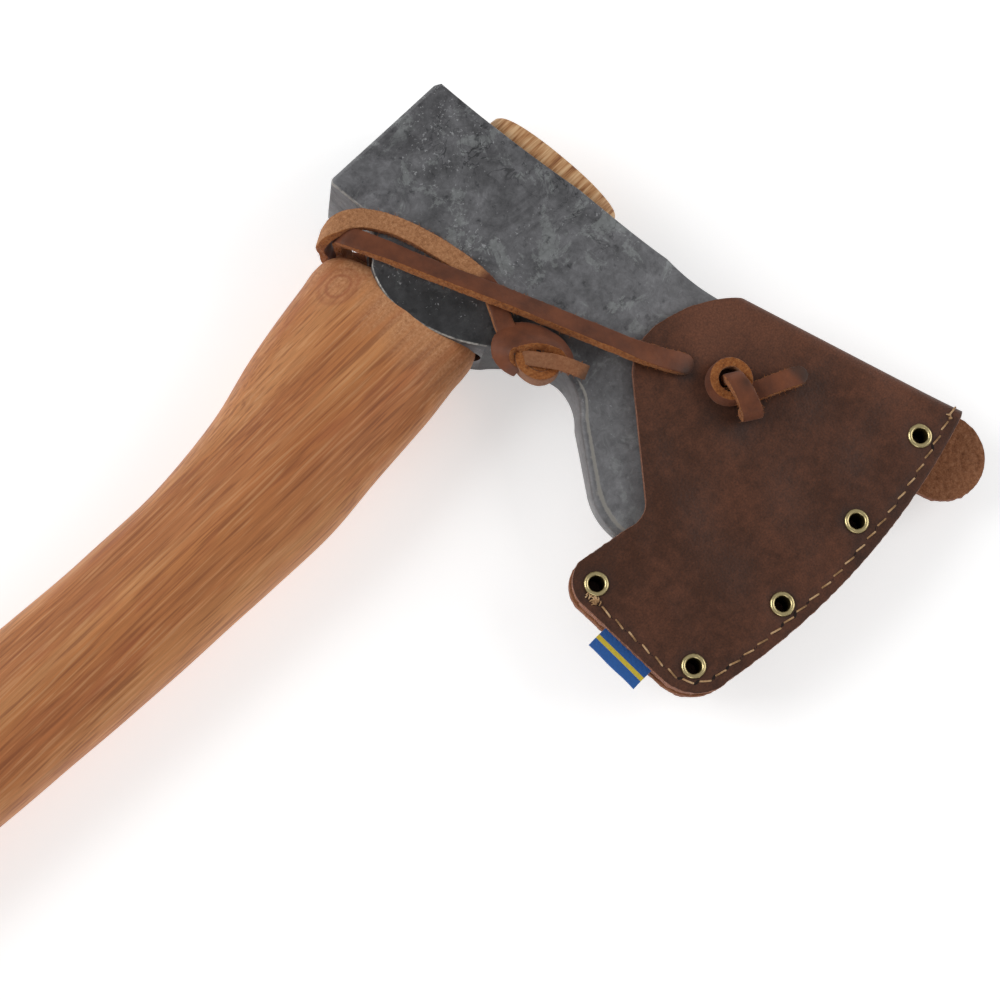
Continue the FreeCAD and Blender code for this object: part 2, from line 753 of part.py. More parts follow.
pairs = [(SIZES[row], side) for row in ("rivets_upper", "rivets_lower") for side in (-1, 1)]
rivets = [rivet(order, run, side)
          for order, (run, side) in enumerate(pairs, 1)]

# ---------------------------------------------------------------- lace and its two knots
slot_front = Vector(*POINTS["slot_front"], 0)
slot_back = Vector(*POINTS["slot_back"], 0)
turn_over = Vector(*POINTS["lace_over_turn"], 0)
turn_under = Vector(*POINTS["lace_turn"], 0)


def upright_frame(start, towards):
    """A frame whose X axis runs from one design point towards another and whose Y axis points up."""
    along = (towards - start).normalize()
    return Placement(start, Rotation(along, Vector(0, 0, 1), Vector(), "XYZ"))


def slot_height(spot):
    """Height of the panel where the lace goes in."""
    return panel_height(spot.x, spot.y)


cheek = SIZES["head_thickness"] / 2 + SIZES["lace_gap"]
band = SIZES["lace_thickness"]
run_over = (turn_over - slot_front).Length - cheek + 2.2
bed = slot_height(slot_front) + 0.1
raised = cheek + band + 0.1
over_inner = [(0.0, bed), (SIZES["over_climbs"], raised), (SIZES["over_crosses"], raised), (run_over, cheek)]
lace_over = prism("lace_over", "XY_Plane",
    [(fixed(q), fixed(h), None) for q, h in over_inner[:-1]]
    + [(fixed(run_over), fixed(cheek), fixed(-cheek - 0.001))]
    + [(fixed(run_over + cheek), fixed(0.0), fixed(-cheek - 0.001))]
    + [(fixed(run_over), fixed(-cheek), None)]
    + [(size("under_climbs"), fixed(-cheek), None), (fixed(0.0), fixed(-bed), None)]
    + [(fixed(0.0), fixed(-bed - band), None), (size("under_climbs"), fixed(-cheek - band), None)]
    + [(fixed(run_over), fixed(-cheek - band), fixed(cheek + band + 0.001))]
    + [(fixed(run_over + cheek + band), fixed(0.0), fixed(cheek + band + 0.001))]
    + [(fixed(run_over), fixed(cheek + band), None)]
    + [(fixed(q), fixed(h + band), None) for q, h in reversed(over_inner[:-1])],
    size("lace_width"), upright_frame(slot_front, turn_over))

lower = cheek + 0.4
clear = 2.6      # the bend starts this far past the edge of the lug
lace_bend = prism("lace_bend", "XY_Plane", [
    (fixed(-2.0), fixed(lower), None),
    (fixed(clear), fixed(lower), fixed(-lower - 0.001)),
    (fixed(clear + lower), fixed(0.0), fixed(-lower - 0.001)),
    (fixed(clear), fixed(-lower), None),
    (fixed(-2.0), fixed(-lower), None),
    (fixed(-2.0), fixed(-lower - band), None),
    (fixed(clear), fixed(-lower - band), fixed(lower + band + 0.001)),
    (fixed(clear + lower + band), fixed(0.0), fixed(lower + band + 0.001)),
    (fixed(clear), fixed(lower + band), None),
    (fixed(-2.0), fixed(lower + band), None),
], size("lace_width"), upright_frame(turn_under, turn_under + Vector(-0.8, 0.6, 0)))

back_run = (slot_back - turn_under).Length
back_bed = slot_height(slot_back) + 0.1
lace_return = prism("lace_return", "XY_Plane", [
    (fixed(-2.4), fixed(-lower), None),
    (fixed(-2.4), fixed(-lower - band), None),
    (size("return_climbs"), fixed(-lower - band), None),
    (fixed(back_run), fixed(-back_bed - band), None),
    (fixed(back_run), fixed(-back_bed), None),
    (size("return_climbs"), fixed(-lower), None),
], size("lace_width"), upright_frame(turn_under, slot_back))

cross = Vector(*POINTS["lace_cross"], 0)
strand = cross - turn_under
side = Vector(-strand.y, strand.x, 0).normalize() * (SIZES["lace_width"] / 2)
tuck = Vector(*POINTS["neck_knot"], 0) + Vector(1.6, 9.0, 0)
lace_front = prism("lace_front", "XY_Plane", [
    (fixed((turn_under - side).x), fixed((turn_under - side).y), None),
    (fixed((turn_under + side).x), fixed((turn_under + side).y), fixed(-42.0)),
    (fixed((cross + side).x), fixed((cross + side).y), None),
    (fixed((tuck + side).x), fixed(tuck.y), None),
    (fixed((tuck - side).x), fixed(tuck.y), None),
    (fixed((cross - side).x), fixed((cross - side).y), fixed(40.0)),
], size("lace_thickness"))
lace_front.Placement.Base.z = cheek + band / 2


def stub(name, spot, low, high):
    """The short length of lace inside a slot of the panel."""
    item = doc.addObject("Part::Box", name)
    item.Placement = Placement(Vector(spot.x, spot.y, 0), Rotation(turn_over - slot_front, Vector(),
                               Vector(0, 0, 1), "ZXY"))
    bind(item, Length=size("lace_width") * 0.6, Width=size("lace_width"), Height=fixed(high - low))
    item.Placement.Base = item.Placement.multVec(Vector(0.0, -SIZES["lace_width"] / 2, low))
    return item


leather = SIZES["leather"]
lace = fuse("lace_body", lace_over, lace_bend, lace_return, lace_front,
            stub("stub_front", slot_front, bed - leather + 0.1, bed + 1.0),
            stub("stub_back", slot_front, -bed - 1.0, leather - bed - 0.1),
            stub("stub_return", slot_back - Vector(-1.0, 2.0, 0), -back_bed - 1.0, leather - back_bed - 0.1))
finish_part("lace", lace)


def knot(name, spot, height, place, foot):
    """A stopper knot: a turn of lace lying on its side, a tail and the stub that it stops."""
    turn = doc.addObject("Part::Torus", name + "_turn")
    bind(turn, Radius1=size(place + "_knot_turn"), Radius2=size(place + "_knot_thick"))
    turn.Placement = Placement(spot + Vector(0, 0, height), Rotation())
    tail = doc.addObject("Part::Box", name + "_tail")
    bind(tail, Length=size(place + "_tail"), Width=size("lace_width"), Height=size("lace_thickness"))
    tail.Placement = Placement(spot + Vector(0, 0, height - band / 2),
                               Rotation(Vector(0, 0, 1), SIZES[place + "_tail_angle"]))
    tail.Placement.Base = tail.Placement.multVec(Vector(0.0, -SIZES["lace_width"] / 2, 0.0))
    core = doc.addObject("Part::Cylinder", name + "_core")
    bind(core, Radius=size(place + "_knot_turn"), Height=fixed(height - foot))
    core.Placement = Placement(spot + Vector(0, 0, foot), Rotation())
    return fuse(name, turn, tail, core)


sheath_spot = Vector(*POINTS["sheath_knot"], 0)
neck_spot = Vector(*POINTS["neck_knot"], 0)
sheath_height = slot_height(sheath_spot)
sheath_knot = knot("sheath_knot_body", sheath_spot, sheath_height + 2.9, "sheath", sheath_height - leather)
finish_part("lace_knot_sheath", sheath_knot)
neck_knot = knot("neck_knot_body", neck_spot, cheek + band / 2 + 0.3, "neck", cheek)
finish_part("lace_knot_neck", neck_knot)

finish_part("belt_strap", cut("belt_strap_body", strap_blank, shell_blank, lace, *rivets))
finish_part("sheath_shell", cut("sheath_shell_body", shell_blank, eyelet_holes, *rivets, lace, sheath_knot))

# ---------------------------------------------------------------- origin, checks and files
doc.recompute()
whole = Part.makeCompound([item.Shape for item in parts.values()]).optimalBoundingBox(False)
set_size("origin_x", -(whole.XMin + whole.XMax) / 2)
set_size("origin_y", -(whole.YMin + whole.YMax) / 2)
set_size("origin_z", -whole.ZMin)
doc.recompute()

for item in doc.Objects:
    if "Invalid" in item.State or "Error" in item.State:
        raise RuntimeError(f"{item.Name} failed: {item.State}")
for node, item in parts.items():
    if item.Shape.isNull() or not item.Shape.isValid() or not item.Shape.Solids:
        raise RuntimeError(f"{node} has no valid shape")

os.makedirs("parts", exist_ok=True)
for node, item in parts.items():
    item.Shape.exportStep(f"parts/{node}.step")
print("origin", [round(-value, 3) for value in (-(whole.XMin + whole.XMax) / 2, -(whole.YMin + whole.YMax) / 2,
                                                -whole.ZMin)])
print("whole object", round(whole.XLength, 1), round(whole.YLength, 1), round(whole.ZLength, 1))
for node, item in sorted(parts.items()):
    print(f"{node}: {len(item.Shape.Solids)} solid(s), {item.Shape.Volume / 1000:.2f} cm3")
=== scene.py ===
"""A forestry hatchet in its stitched leather sheath, lying flat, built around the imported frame.

Shapes are worked out in millimetres in the maker's own frame: X runs along the handle towards the head, Y
towards the poll, Z up from the middle plane, and the handle's axis enters the head at zero. They are then moved
to the row.
"""

import json
import math

import bmesh
import bpy
import numpy as np
from bpy.props import FloatProperty, FloatVectorProperty, PointerProperty
from mathutils import Euler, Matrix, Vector


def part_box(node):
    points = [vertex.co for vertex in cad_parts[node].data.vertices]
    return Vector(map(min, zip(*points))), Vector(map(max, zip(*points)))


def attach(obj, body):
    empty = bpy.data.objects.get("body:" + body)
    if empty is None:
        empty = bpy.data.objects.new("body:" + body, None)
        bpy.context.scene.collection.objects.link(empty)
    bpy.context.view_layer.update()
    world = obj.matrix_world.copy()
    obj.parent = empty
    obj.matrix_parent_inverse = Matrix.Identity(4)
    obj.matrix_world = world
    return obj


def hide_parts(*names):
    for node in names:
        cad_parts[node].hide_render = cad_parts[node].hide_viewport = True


bl_info = {
    "name": "Hatchet",
    "version": (1, 0, 0),
    "blender": (4, 5, 0),
    "location": "View3D > Sidebar > Hatchet",
    "description": "Builds a forged hatchet with its hickory handle, leather sheath and tied lace",
    "category": "Object",
}

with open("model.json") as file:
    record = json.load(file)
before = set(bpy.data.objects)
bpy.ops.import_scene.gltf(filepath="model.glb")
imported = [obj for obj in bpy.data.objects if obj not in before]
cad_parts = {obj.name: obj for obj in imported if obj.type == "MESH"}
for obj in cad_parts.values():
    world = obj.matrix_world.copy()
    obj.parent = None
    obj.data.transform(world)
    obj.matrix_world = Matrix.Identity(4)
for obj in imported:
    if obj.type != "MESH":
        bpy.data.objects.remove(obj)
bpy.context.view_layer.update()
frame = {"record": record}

MM = 0.001
MOUNTS = {mount["name"]: mount for mount in frame["record"]["mounts"]}
POLL_FACE = np.array([20.0, 36.0, 0.0])      # the poll face's middle in the maker's frame
HOME = np.array(MOUNTS["poll_face"]["pos_m"]) - POLL_FACE * MM
EYELETS = [(np.array(MOUNTS[f"eyelet_bore_{n}"]["pos_m"]) - HOME) / MM for n in range(1, 6)]


def hex_colour(text):
    """An sRGB hex value as a linear colour."""
    parts = np.array([int(text[i:i + 2], 16) for i in (0, 2, 4)]) / 255
    return tuple(np.where(parts <= 0.04045, parts / 12.92, ((parts + 0.055) / 1.055) ** 2.4))


def colour_value(name, description, text):
    """A colour that a user can change."""
    return FloatVectorProperty(name=name, description=description, subtype="COLOR", size=3, min=0, max=1,
                               default=hex_colour(text))


def length_value(name, description, default):
    """A length in millimetres that a user can change."""
    return FloatProperty(name=name + " (mm)", description=description, default=default, min=0.01, unit="NONE")


class HatchetSizes(bpy.types.PropertyGroup):
    """Sizes of the details that the frame leaves to the looks."""

    beard_band: length_value("Beard band", "Width of the dressed band along the beard", 2.2)
    leather: length_value("Leather", "Thickness of the sheath's leather", 2.3)
    lace_width: length_value("Lace width", "Width of the lace", 5.5)
    lace_thickness: length_value("Lace thickness", "Thickness of the lace", 2.5)
    thread: length_value("Thread", "Thickness of the sewing thread", 0.5)
    stitch: length_value("Stitch", "Distance from one stitch hole to the next", 4.5)
    label: length_value("Label", "Thickness of the woven label", 0.7)


class HatchetColours(bpy.types.PropertyGroup):
    """Colours of the finishes."""

    steel_dark: colour_value("Steel, dark", "Forge scale", "505052")
    steel_light: colour_value("Steel, light", "Rubbed forge scale", "858588")
    steel_bare: colour_value("Steel, bare", "Worn bright edges", "b9b5ae")
    wood_light: colour_value("Hickory, light", "Early wood", "dc9f68")
    wood_mid: colour_value("Hickory", "Oiled wood", "c07c48")
    wood_dark: colour_value("Hickory, dark", "Late wood and streaks", "98542c")
    hide_light: colour_value("Sheath leather, light", "Waxed hide where it is pulled", "663b26")
    hide_dark: colour_value("Sheath leather, dark", "Waxed hide", "472614")
    hide_cut: colour_value("Cut edge", "Raw edge of the hide", "97624a")
    suede: colour_value("Suede", "Flesh side of the hide", "a06a48")
    lace_grain: colour_value("Lace, grain side", "Oiled lace", "6d3b22")
    lace_cut: colour_value("Lace, cut edge", "Raw edge of the lace", "a5622f")
    brass: colour_value("Brass", "Antiqued brass", "7f6f42")
    thread: colour_value("Thread", "Waxed linen", "b58c5f")
    label_blue: colour_value("Label, ground", "Woven ground", "2064b4")
    label_band: colour_value("Label, band", "Woven band", "ecd23c")


def sizes():
    """The sizes that the scene holds."""
    return bpy.context.scene.hatchet_sizes


def colours():
    """The colours that the scene holds."""
    return bpy.context.scene.hatchet_colours


# ---------------------------------------------------------------- lines and grids
def unit(vectors):
    """Each vector at length one."""
    return vectors / np.maximum(np.linalg.norm(vectors, axis=-1, keepdims=True), 1e-9)


def ease(low, high, value):
    """Zero below low, one above high and a smooth step between: 3t squared less 2t cubed."""
    t = np.clip((value - low) / (high - low), 0, 1)
    return t * t * (3 - 2 * t)


def ripple(points, length, seed):
    """Smooth unevenness of about one: eight plane waves of about that length in random directions."""
    draw = np.random.default_rng(seed)
    ways = unit(draw.normal(size=(8, points.shape[-1])))
    waves = 2 * np.pi / length * draw.uniform(0.6, 1.7, 8)
    return np.sin(points @ (ways * waves[:, None]).T + draw.uniform(0, 2 * np.pi, 8)).sum(-1) / 3


def smooth_line(points, count):
    """A smooth line through the points: cubic pieces, their slopes from each three points' parabola."""
    points = np.asarray(points, float)
    knots = np.concatenate([[0], np.cumsum(np.linalg.norm(np.diff(points, axis=0), axis=1))])
    slopes = np.gradient(points, knots, axis=0)
    places = np.linspace(0, knots[-1], count)
    low = np.clip(np.searchsorted(knots, places, side="right") - 1, 0, len(points) - 2)
    gap = (knots[low + 1] - knots[low])[:, None]
    t = (places[:, None] - knots[low][:, None]) / gap
    return ((1 + 2 * t) * (1 - t) ** 2 * points[low] + t * (1 - t) ** 2 * gap * slopes[low]
            + t * t * (3 - 2 * t) * points[low + 1] + t * t * (t - 1) * gap * slopes[low + 1])


def arc_run(start, end, radius, step):
    """Points from start towards end, on a line, or on an arc that turns left for a radius above zero."""
    start, end = np.array(start, float), np.array(end, float)
    chord = end - start
    reach = np.linalg.norm(chord)
    share = np.arange(max(int(reach / step), 2)) / max(int(reach / step), 2)
    if radius is None:
        return start + share[:, None] * chord
    side = math.copysign(1, radius)
    left = np.array([-chord[1], chord[0]]) / reach * side
    centre = (start + end) / 2 + left * math.sqrt(max(radius * radius - reach * reach / 4, 0))
    first = math.atan2(*(start - centre)[::-1])
    turn = 2 * math.asin(min(reach / 2 / abs(radius), 1)) * side
    angle = first + share * turn
    return centre + abs(radius) * np.stack([np.cos(angle), np.sin(angle)], 1)


def outline(stops, step=0.4):
    """A line of runs through stops (x, y, radius of the run that follows, or None for a straight one)."""
    runs = [arc_run(here[:2], there[:2], here[2], step) for here, there in zip(stops, stops[1:])]
    return np.concatenate(runs + [np.array([stops[-1][:2]], float)])


def along(path, share):
    """Points of a path at shares of its length."""
    knots = np.concatenate([[0], np.cumsum(np.linalg.norm(np.diff(path, axis=0), axis=1))])
    return np.stack([np.interp(np.asarray(share) * knots[-1], knots, path[:, i]) for i in range(path.shape[1])],
                    -1)


def patch(bottom, top, left, right, u, v):
    """A surface between four sides: the blend across plus the blend up less the blend of the corners."""
    low, high = along(bottom, u)[None], along(top, u)[None]
    near, far = along(left, v)[:, None], along(right, v)[:, None]
    u, v = u[None, :, None], v[:, None, None]
    corners = ((1 - u) * (1 - v) * low[:, :1] + u * (1 - v) * low[:, -1:]
               + (1 - u) * v * high[:, :1] + u * v * high[:, -1:])
    return (1 - v) * low + v * high + (1 - u) * near + u * far - corners


def crowded(count, margin, span):
    """Shares from 0 to 1, even but for two more beside each end, a margin away, for a crisp edge."""
    close = margin / span
    inner = np.linspace(close, 1 - close, count - 2)
    return np.concatenate([[0], inner, [1]])


def grid_faces(rows, columns, round_columns=False):
    """Quads of a grid whose points are numbered row by row."""
    row = np.arange(rows - 1)[:, None] * columns
    column = np.arange(columns if round_columns else columns - 1)[None]
    after = (column + 1) % columns
    corners = [row + column, row + after, row + columns + after, row + columns + column]
    return np.stack(corners, -1).reshape(-1, 4)


def strip(first, second):
    """Quads between two closed loops of point numbers."""
    return np.stack([np.roll(first, -1), first, second, np.roll(second, -1)], -1)


def closed_sheet(outer, inner, bulge, rounds=5):
    """A leather sheet from its two faces, with a cut edge that swells outwards as half a sine.

    Returns the points, the faces, and marks that are one on the cut edge and on the outer face.
    """
    rows, columns = outer.shape[:2]
    count = rows * columns
    number = np.arange(count).reshape(rows, columns)
    ring = np.concatenate([number[0], number[1:, -1], number[-1, -2::-1], number[-2:0:-1, 0]])
    shrunk = number[1:-1, 1:-1]
    inside = np.pad(shrunk, 1, mode="edge").reshape(-1)[ring]
    outer, inner = outer.reshape(-1, 3), inner.reshape(-1, 3)
    away = unit(outer[ring] - outer[inside])
    t = (np.arange(1, rounds + 1) / (rounds + 1))[:, None, None]
    rim = outer[ring] * (1 - t) + inner[ring] * t + away * bulge * np.sin(np.pi * t) ** 0.6
    points = np.concatenate([outer, inner, rim.reshape(-1, 3)])
    loops = [ring] + [2 * count + k * len(ring) + np.arange(len(ring)) for k in range(rounds)] + [count + ring]
    faces = [grid_faces(rows, columns), grid_faces(rows, columns)[:, ::-1] + count]
    faces += [strip(a, b) for a, b in zip(loops, loops[1:])]
    cut = np.zeros(len(points))
    cut[2 * count:] = 1
    face = np.zeros(len(points))
    face[:count] = 1
    return points, np.concatenate(faces), cut, face


def carried(path, across, width, thickness, squareness=9.0, sides=32):
    """A strip carried along a path: its section is a superellipse, width across and thickness upwards.

    Returns the points, the faces, and marks that are one on the upper face and on the cut edges.
    """
    count = len(path)
    forward = unit(np.gradient(path, axis=0))
    across = np.broadcast_to(np.asarray(across, float), path.shape)
    upward = unit(np.cross(forward, across))
    across = unit(np.cross(upward, forward))
    angle = np.linspace(0, 2 * np.pi, sides, endpoint=False) + np.pi / sides
    wide = np.sign(np.cos(angle)) * np.abs(np.cos(angle)) ** (2 / squareness)
    high = np.sign(np.sin(angle)) * np.abs(np.sin(angle)) ** (2 / squareness)
    width = np.broadcast_to(width, count)[:, None, None]
    thickness = np.broadcast_to(thickness, count)[:, None, None]
    rings = (path[:, None] + across[:, None] * wide[None, :, None] * width / 2
             + upward[:, None] * high[None, :, None] * thickness / 2)
    points = np.concatenate([rings.reshape(-1, 3), path[:1], path[-1:]])
    first = np.arange(sides)
    last = first + (count - 1) * sides
    caps = [np.stack([np.roll(first, -1), first, np.full(sides, count * sides)], -1),
            np.stack([last, np.roll(last, -1), np.full(sides, count * sides + 1)], -1)]
    faces = grid_faces(count, sides, True).tolist() + caps[0].tolist() + caps[1].tolist()
    top = np.concatenate([np.tile(ease(0.35, 0.93, high), count), [0.5, 0.5]])
    side = ease(0.8, 0.97, np.abs(wide)) * (1 - ease(0.82, 0.94, np.abs(high)))
    cut = np.concatenate([np.tile(side, count), [1, 1]])
    return points, faces, top, cut


def turned(profile, centre, sides=48):
    """A profile of (radius, height) turned about the upright line through the centre."""
    profile = np.asarray(profile, float)
    angle = np.linspace(0, 2 * np.pi, sides, endpoint=False)
    points = np.stack([profile[:, :1] * np.cos(angle), profile[:, :1] * np.sin(angle),
                       np.repeat(profile[:, 1:], sides, 1)], -1) + centre
    return points.reshape(-1, 3), grid_faces(len(profile), sides, True)


def joined(*shapes):
    """Several shapes as one: each is its points, its faces and its marks."""
    points, faces, marks, start = [], [], {}, 0
    for shape_points, shape_faces, shape_marks in shapes:
        points.append(shape_points)
        faces += [[corner + start for corner in face] for face in np.asarray(shape_faces, object).tolist()]
        for name, values in shape_marks.items():
            marks.setdefault(name, []).append(np.broadcast_to(values, len(shape_points)))
        start += len(shape_points)
    return np.concatenate(points), faces, {name: np.concatenate(values) for name, values in marks.items()}


def solid_mesh(name, points, faces, marks=None):
    """A closed mesh in the row's frame from points in millimetres, faces outwards, with its marks."""
    mesh = bpy.data.meshes.new(name)
    mesh.from_pydata((np.asarray(points) * MM + HOME).tolist(), [],
                     faces.tolist() if isinstance(faces, np.ndarray) else faces)
    for mark, values in (marks or {}).items():
        layer = mesh.attributes.new(mark, "FLOAT", "POINT")
        layer.data.foreach_set("value", np.asarray(values, np.float32))
    work = bmesh.new()
    work.from_mesh(mesh)
    bmesh.ops.remove_doubles(work, verts=work.verts, dist=1e-6)
    bmesh.ops.recalc_face_normals(work, faces=work.faces)
    work.to_mesh(mesh)
    work.free()
    return mesh


def new_object(name, mesh):
    """An object at the origin that holds the mesh."""
    item = bpy.data.objects.new(name, mesh)
    bpy.context.scene.collection.objects.link(item)
    return item


def carve(item, tool):
    """Takes the tool's solid out of the item, exactly, and removes the tool."""
    cutter = item.modifiers.new("carve", "BOOLEAN")
    cutter.operation = "DIFFERENCE"
    cutter.solver = "EXACT"
    cutter.object = tool
    view = bpy.context.evaluated_depsgraph_get()
    mesh = bpy.data.meshes.new_from_object(item.evaluated_get(view))
    item.modifiers.clear()
    item.data = mesh
    bpy.data.objects.remove(tool)


def make_piece(name, shape, material, body, node, crease, tool=None):
    """Makes a piece from its shape less the tool's, finishes it and sets it on its body in place of a node."""
    item = new_object(name, solid_mesh(name, *shape))
    if tool:
        carve(item, new_object("tool", solid_mesh("tool", *tool)))
    item.data.shade_smooth()
    item.data.set_sharp_from_angle(angle=math.radians(crease))
    item.data.materials.clear()
    item.data.materials.append(material)
    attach(item, body)
    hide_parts(node)


# ---------------------------------------------------------------- finishes
def add(tree, kind, inputs, out=0, stops=None, **settings):
    """Adds a node with its settings, links or sets its inputs, and returns one output; stops colour a ramp."""
    item = tree.nodes.new("ShaderNode" + kind)
    for name, value in settings.items():
        setattr(item, name, value)
    for name, value in inputs.items():
        if isinstance(value, bpy.types.NodeSocket):
            tree.links.new(value, item.inputs[name])
        else:
            item.inputs[name].default_value = value
    if stops:
        ramp = item.color_ramp
        ramp.elements[0].position, ramp.elements[0].color = stops[0][0], (*stops[0][1], 1)
        ramp.elements[1].position, ramp.elements[1].color = stops[-1][0], (*stops[-1][1], 1)
        for place, colour in stops[1:-1]:
            ramp.elements.new(place).color = (*colour, 1)
    return None if out is None else item.outputs[out]


def finish_of(name):
    """A new material and its node tree, with the default nodes taken away."""
    material = bpy.data.materials.new(name)
    material.use_nodes = True
    material.node_tree.nodes.clear()
    return material, material.node_tree


def close(tree, inputs):
    """Ends a material with its shader and output."""
    shader = add(tree, "BsdfPrincipled", inputs)
    add(tree, "OutputMaterial", {"Surface": shader}, None)


def per(length):
    """A texture scale, in features to the metre, for features of a length in millimetres."""
    return 1000.0 / length


def forged_steel():
    """Drop-forged carbon steel in its forge scale: a dark oxide skin, satin, that wears to bright metal."""
    look = colours()
    material, tree = finish_of("forged_carbon_steel")
    place = add(tree, "TexCoord", {}, "Object")
    worn = add(tree, "Attribute", {}, "Fac", attribute_name="worn")
    soot_and_shade = add(tree, "Attribute", {}, "Fac", attribute_name="soot_and_shade")
    # clouds 24 mm across with a 6 mm mottle, where the scale is thicker or rubbed thin
    cloud = add(tree, "TexNoise", {"Vector": place, "Scale": per(24), "Detail": 9.0, "Roughness": 0.66,
                                   "Distortion": 0.6})
    blotch = add(tree, "TexNoise", {"Vector": place, "Scale": per(6), "Detail": 6.0, "Roughness": 0.7})
    shade = add(tree, "Math", {0: cloud, 1: blotch}, operation="ADD")
    shade = add(tree, "MapRange", {"Value": shade, "From Min": 0.74, "From Max": 1.26})
    base = add(tree, "Mix", {0: shade, 6: (*look.steel_dark, 1), 7: (*look.steel_light, 1)}, 2,
               data_type="RGBA")
    # lifted flakes 13 mm across with sharp edges, a little paler, then dim clouds 21 mm across
    layers = [(13, 9.0, 0.74, 0.8, 0.535, 0.565, 0.5, "989c9b"),
              (21, 8.0, 0.7, 1.0, 0.52, 0.62, 0.62, "4e4d50")]
    for size, detail, rough, twist, low, high, most, tint in layers:
        layer = add(tree, "TexNoise", {"Vector": place, "Scale": per(size), "Detail": detail,
                                       "Roughness": rough, "Distortion": twist})
        layer = add(tree, "MapRange", {"Value": layer, "From Min": low, "From Max": high, "To Max": most})
        base = add(tree, "Mix", {0: layer, 6: base, 7: (*hex_colour(tint), 1)}, 2, data_type="RGBA")
    # outlines of dried stains: thin bands of one level of a 17 mm noise
    level = add(tree, "TexNoise", {"Vector": place, "Scale": per(17), "Detail": 4.0, "Roughness": 0.6,
                                   "Distortion": 1.2})
    line = add(tree, "Math", {0: level, 1: 0.54, 2: 0.006}, operation="COMPARE")
    stain_field = add(tree, "TexNoise", {"Vector": place, "Scale": per(36), "Detail": 1.0})
    stain_field = add(tree, "MapRange", {"Value": stain_field, "From Min": 0.5, "From Max": 0.62})
    line = add(tree, "Math", {0: line, 1: stain_field}, operation="MULTIPLY")
    line = add(tree, "Math", {0: line, 1: 0.6}, operation="MULTIPLY")
    base = add(tree, "Mix", {0: line, 6: base, 7: (*hex_colour("1f2023"), 1)}, 2, data_type="RGBA")
    # dark pits 1 to 3 mm across where scale has lifted
    pit = add(tree, "TexNoise", {"Vector": place, "Scale": per(3.2), "Detail": 5.0, "Roughness": 0.62})
    pit = add(tree, "MapRange", {"Value": pit, "From Min": 0.6, "From Max": 0.68, "To Max": 0.55})
    base = add(tree, "Mix", {0: pit, 6: base, 7: (*hex_colour("232428"), 1)}, 2, data_type="RGBA")
    # black scale beside the lace, partly painted shade for the lace's shadow on the cheek
    base = add(tree, "Mix", {0: soot_and_shade, 6: base, 7: (*hex_colour("202021"), 1)}, 2, data_type="RGBA")
    # a painted highlight that pales the beard's cheek, and a crawling mottle 2 mm across over everything
    beard_highlight = add(tree, "Attribute", {}, "Fac", attribute_name="beard_highlight")
    base = add(tree, "Mix", {0: beard_highlight, 6: base, 7: (*hex_colour("929294"), 1)}, 2, data_type="RGBA")
    crawl = add(tree, "TexNoise", {"Vector": place, "Scale": per(2.4), "Detail": 7.0, "Roughness": 0.75,
                                   "Distortion": 0.9})
    crawl = add(tree, "MapRange", {"Value": crawl, "From Min": 0.35, "From Max": 0.65, "To Min": 0.78,
                                   "To Max": 1.2})
    base = add(tree, "Mix", {0: 1.0, 6: base, 7: crawl}, 2, data_type="RGBA", blend_type="MULTIPLY")
    # pale specks under 1 mm in clusters 20 mm across
    speck = add(tree, "TexNoise", {"Vector": place, "Scale": per(1.05), "Detail": 3.0, "Roughness": 0.7})
    field = add(tree, "TexNoise", {"Vector": place, "Scale": per(30), "Detail": 3.0})
    field = add(tree, "MapRange", {"Value": field, "From Min": 0.44, "From Max": 0.62, "To Min": 0.0,
                                   "To Max": 0.12})
    speck = add(tree, "Math", {0: speck, 1: field}, operation="ADD")
    speck = add(tree, "MapRange", {"Value": speck, "From Min": 0.715, "From Max": 0.77, "To Max": 0.85})
    base = add(tree, "Mix", {0: speck, 6: base, 7: (*hex_colour("a9aaac"), 1)}, 2, data_type="RGBA")
    # scratches: a 1 mm noise drawn out 33 to 1
    drawn = add(tree, "Mapping", {"Vector": place, "Rotation": (0, 0, 0.9), "Scale": (1, 0.03, 1)})
    scratch = add(tree, "TexNoise", {"Vector": drawn, "Scale": per(1.0), "Detail": 2.0})
    scratch = add(tree, "MapRange", {"Value": scratch, "From Min": 0.73, "From Max": 0.8, "To Max": 0.35})
    base = add(tree, "Mix", {0: scratch, 6: base, 7: (*hex_colour("9a9b9e"), 1)}, 2, data_type="RGBA")
    # worn edges: the mark broken up by a 1.6 mm noise
    broken = add(tree, "TexNoise", {"Vector": place, "Scale": per(1.6), "Detail": 5.0, "Roughness": 0.72})
    bare = add(tree, "Math", {0: worn, 1: broken}, operation="ADD")
    bare = add(tree, "MapRange", {"Value": bare, "From Min": 0.98, "From Max": 1.4})
    colour = add(tree, "Mix", {0: bare, 6: base, 7: (*look.steel_bare, 1)}, 2, data_type="RGBA")
    metal = add(tree, "MapRange", {"Value": bare, "To Min": 0.35, "To Max": 0.9})
    dull = add(tree, "MapRange", {"Value": blotch, "From Min": 0.3, "From Max": 0.7, "To Min": 0.46,
                                  "To Max": 0.62})
    rough = add(tree, "Mix", {0: bare, 2: dull, 3: 0.38})
    # hammer waves 9 mm long under a scale texture of 0.9 mm
    wave = add(tree, "TexNoise", {"Vector": place, "Scale": per(9), "Detail": 2.0})
    fine = add(tree, "TexNoise", {"Vector": place, "Scale": per(0.9), "Detail": 4.0, "Roughness": 0.6})
    soft = add(tree, "Bump", {"Height": wave, "Distance": 0.0006, "Strength": 0.35}, "Normal")
    normal = add(tree, "Bump", {"Height": fine, "Distance": 0.00012, "Strength": 0.5, "Normal": soft}, "Normal")
    close(tree, {"Base Color": colour, "Metallic": metal, "Roughness": rough, "Normal": normal})
    return material


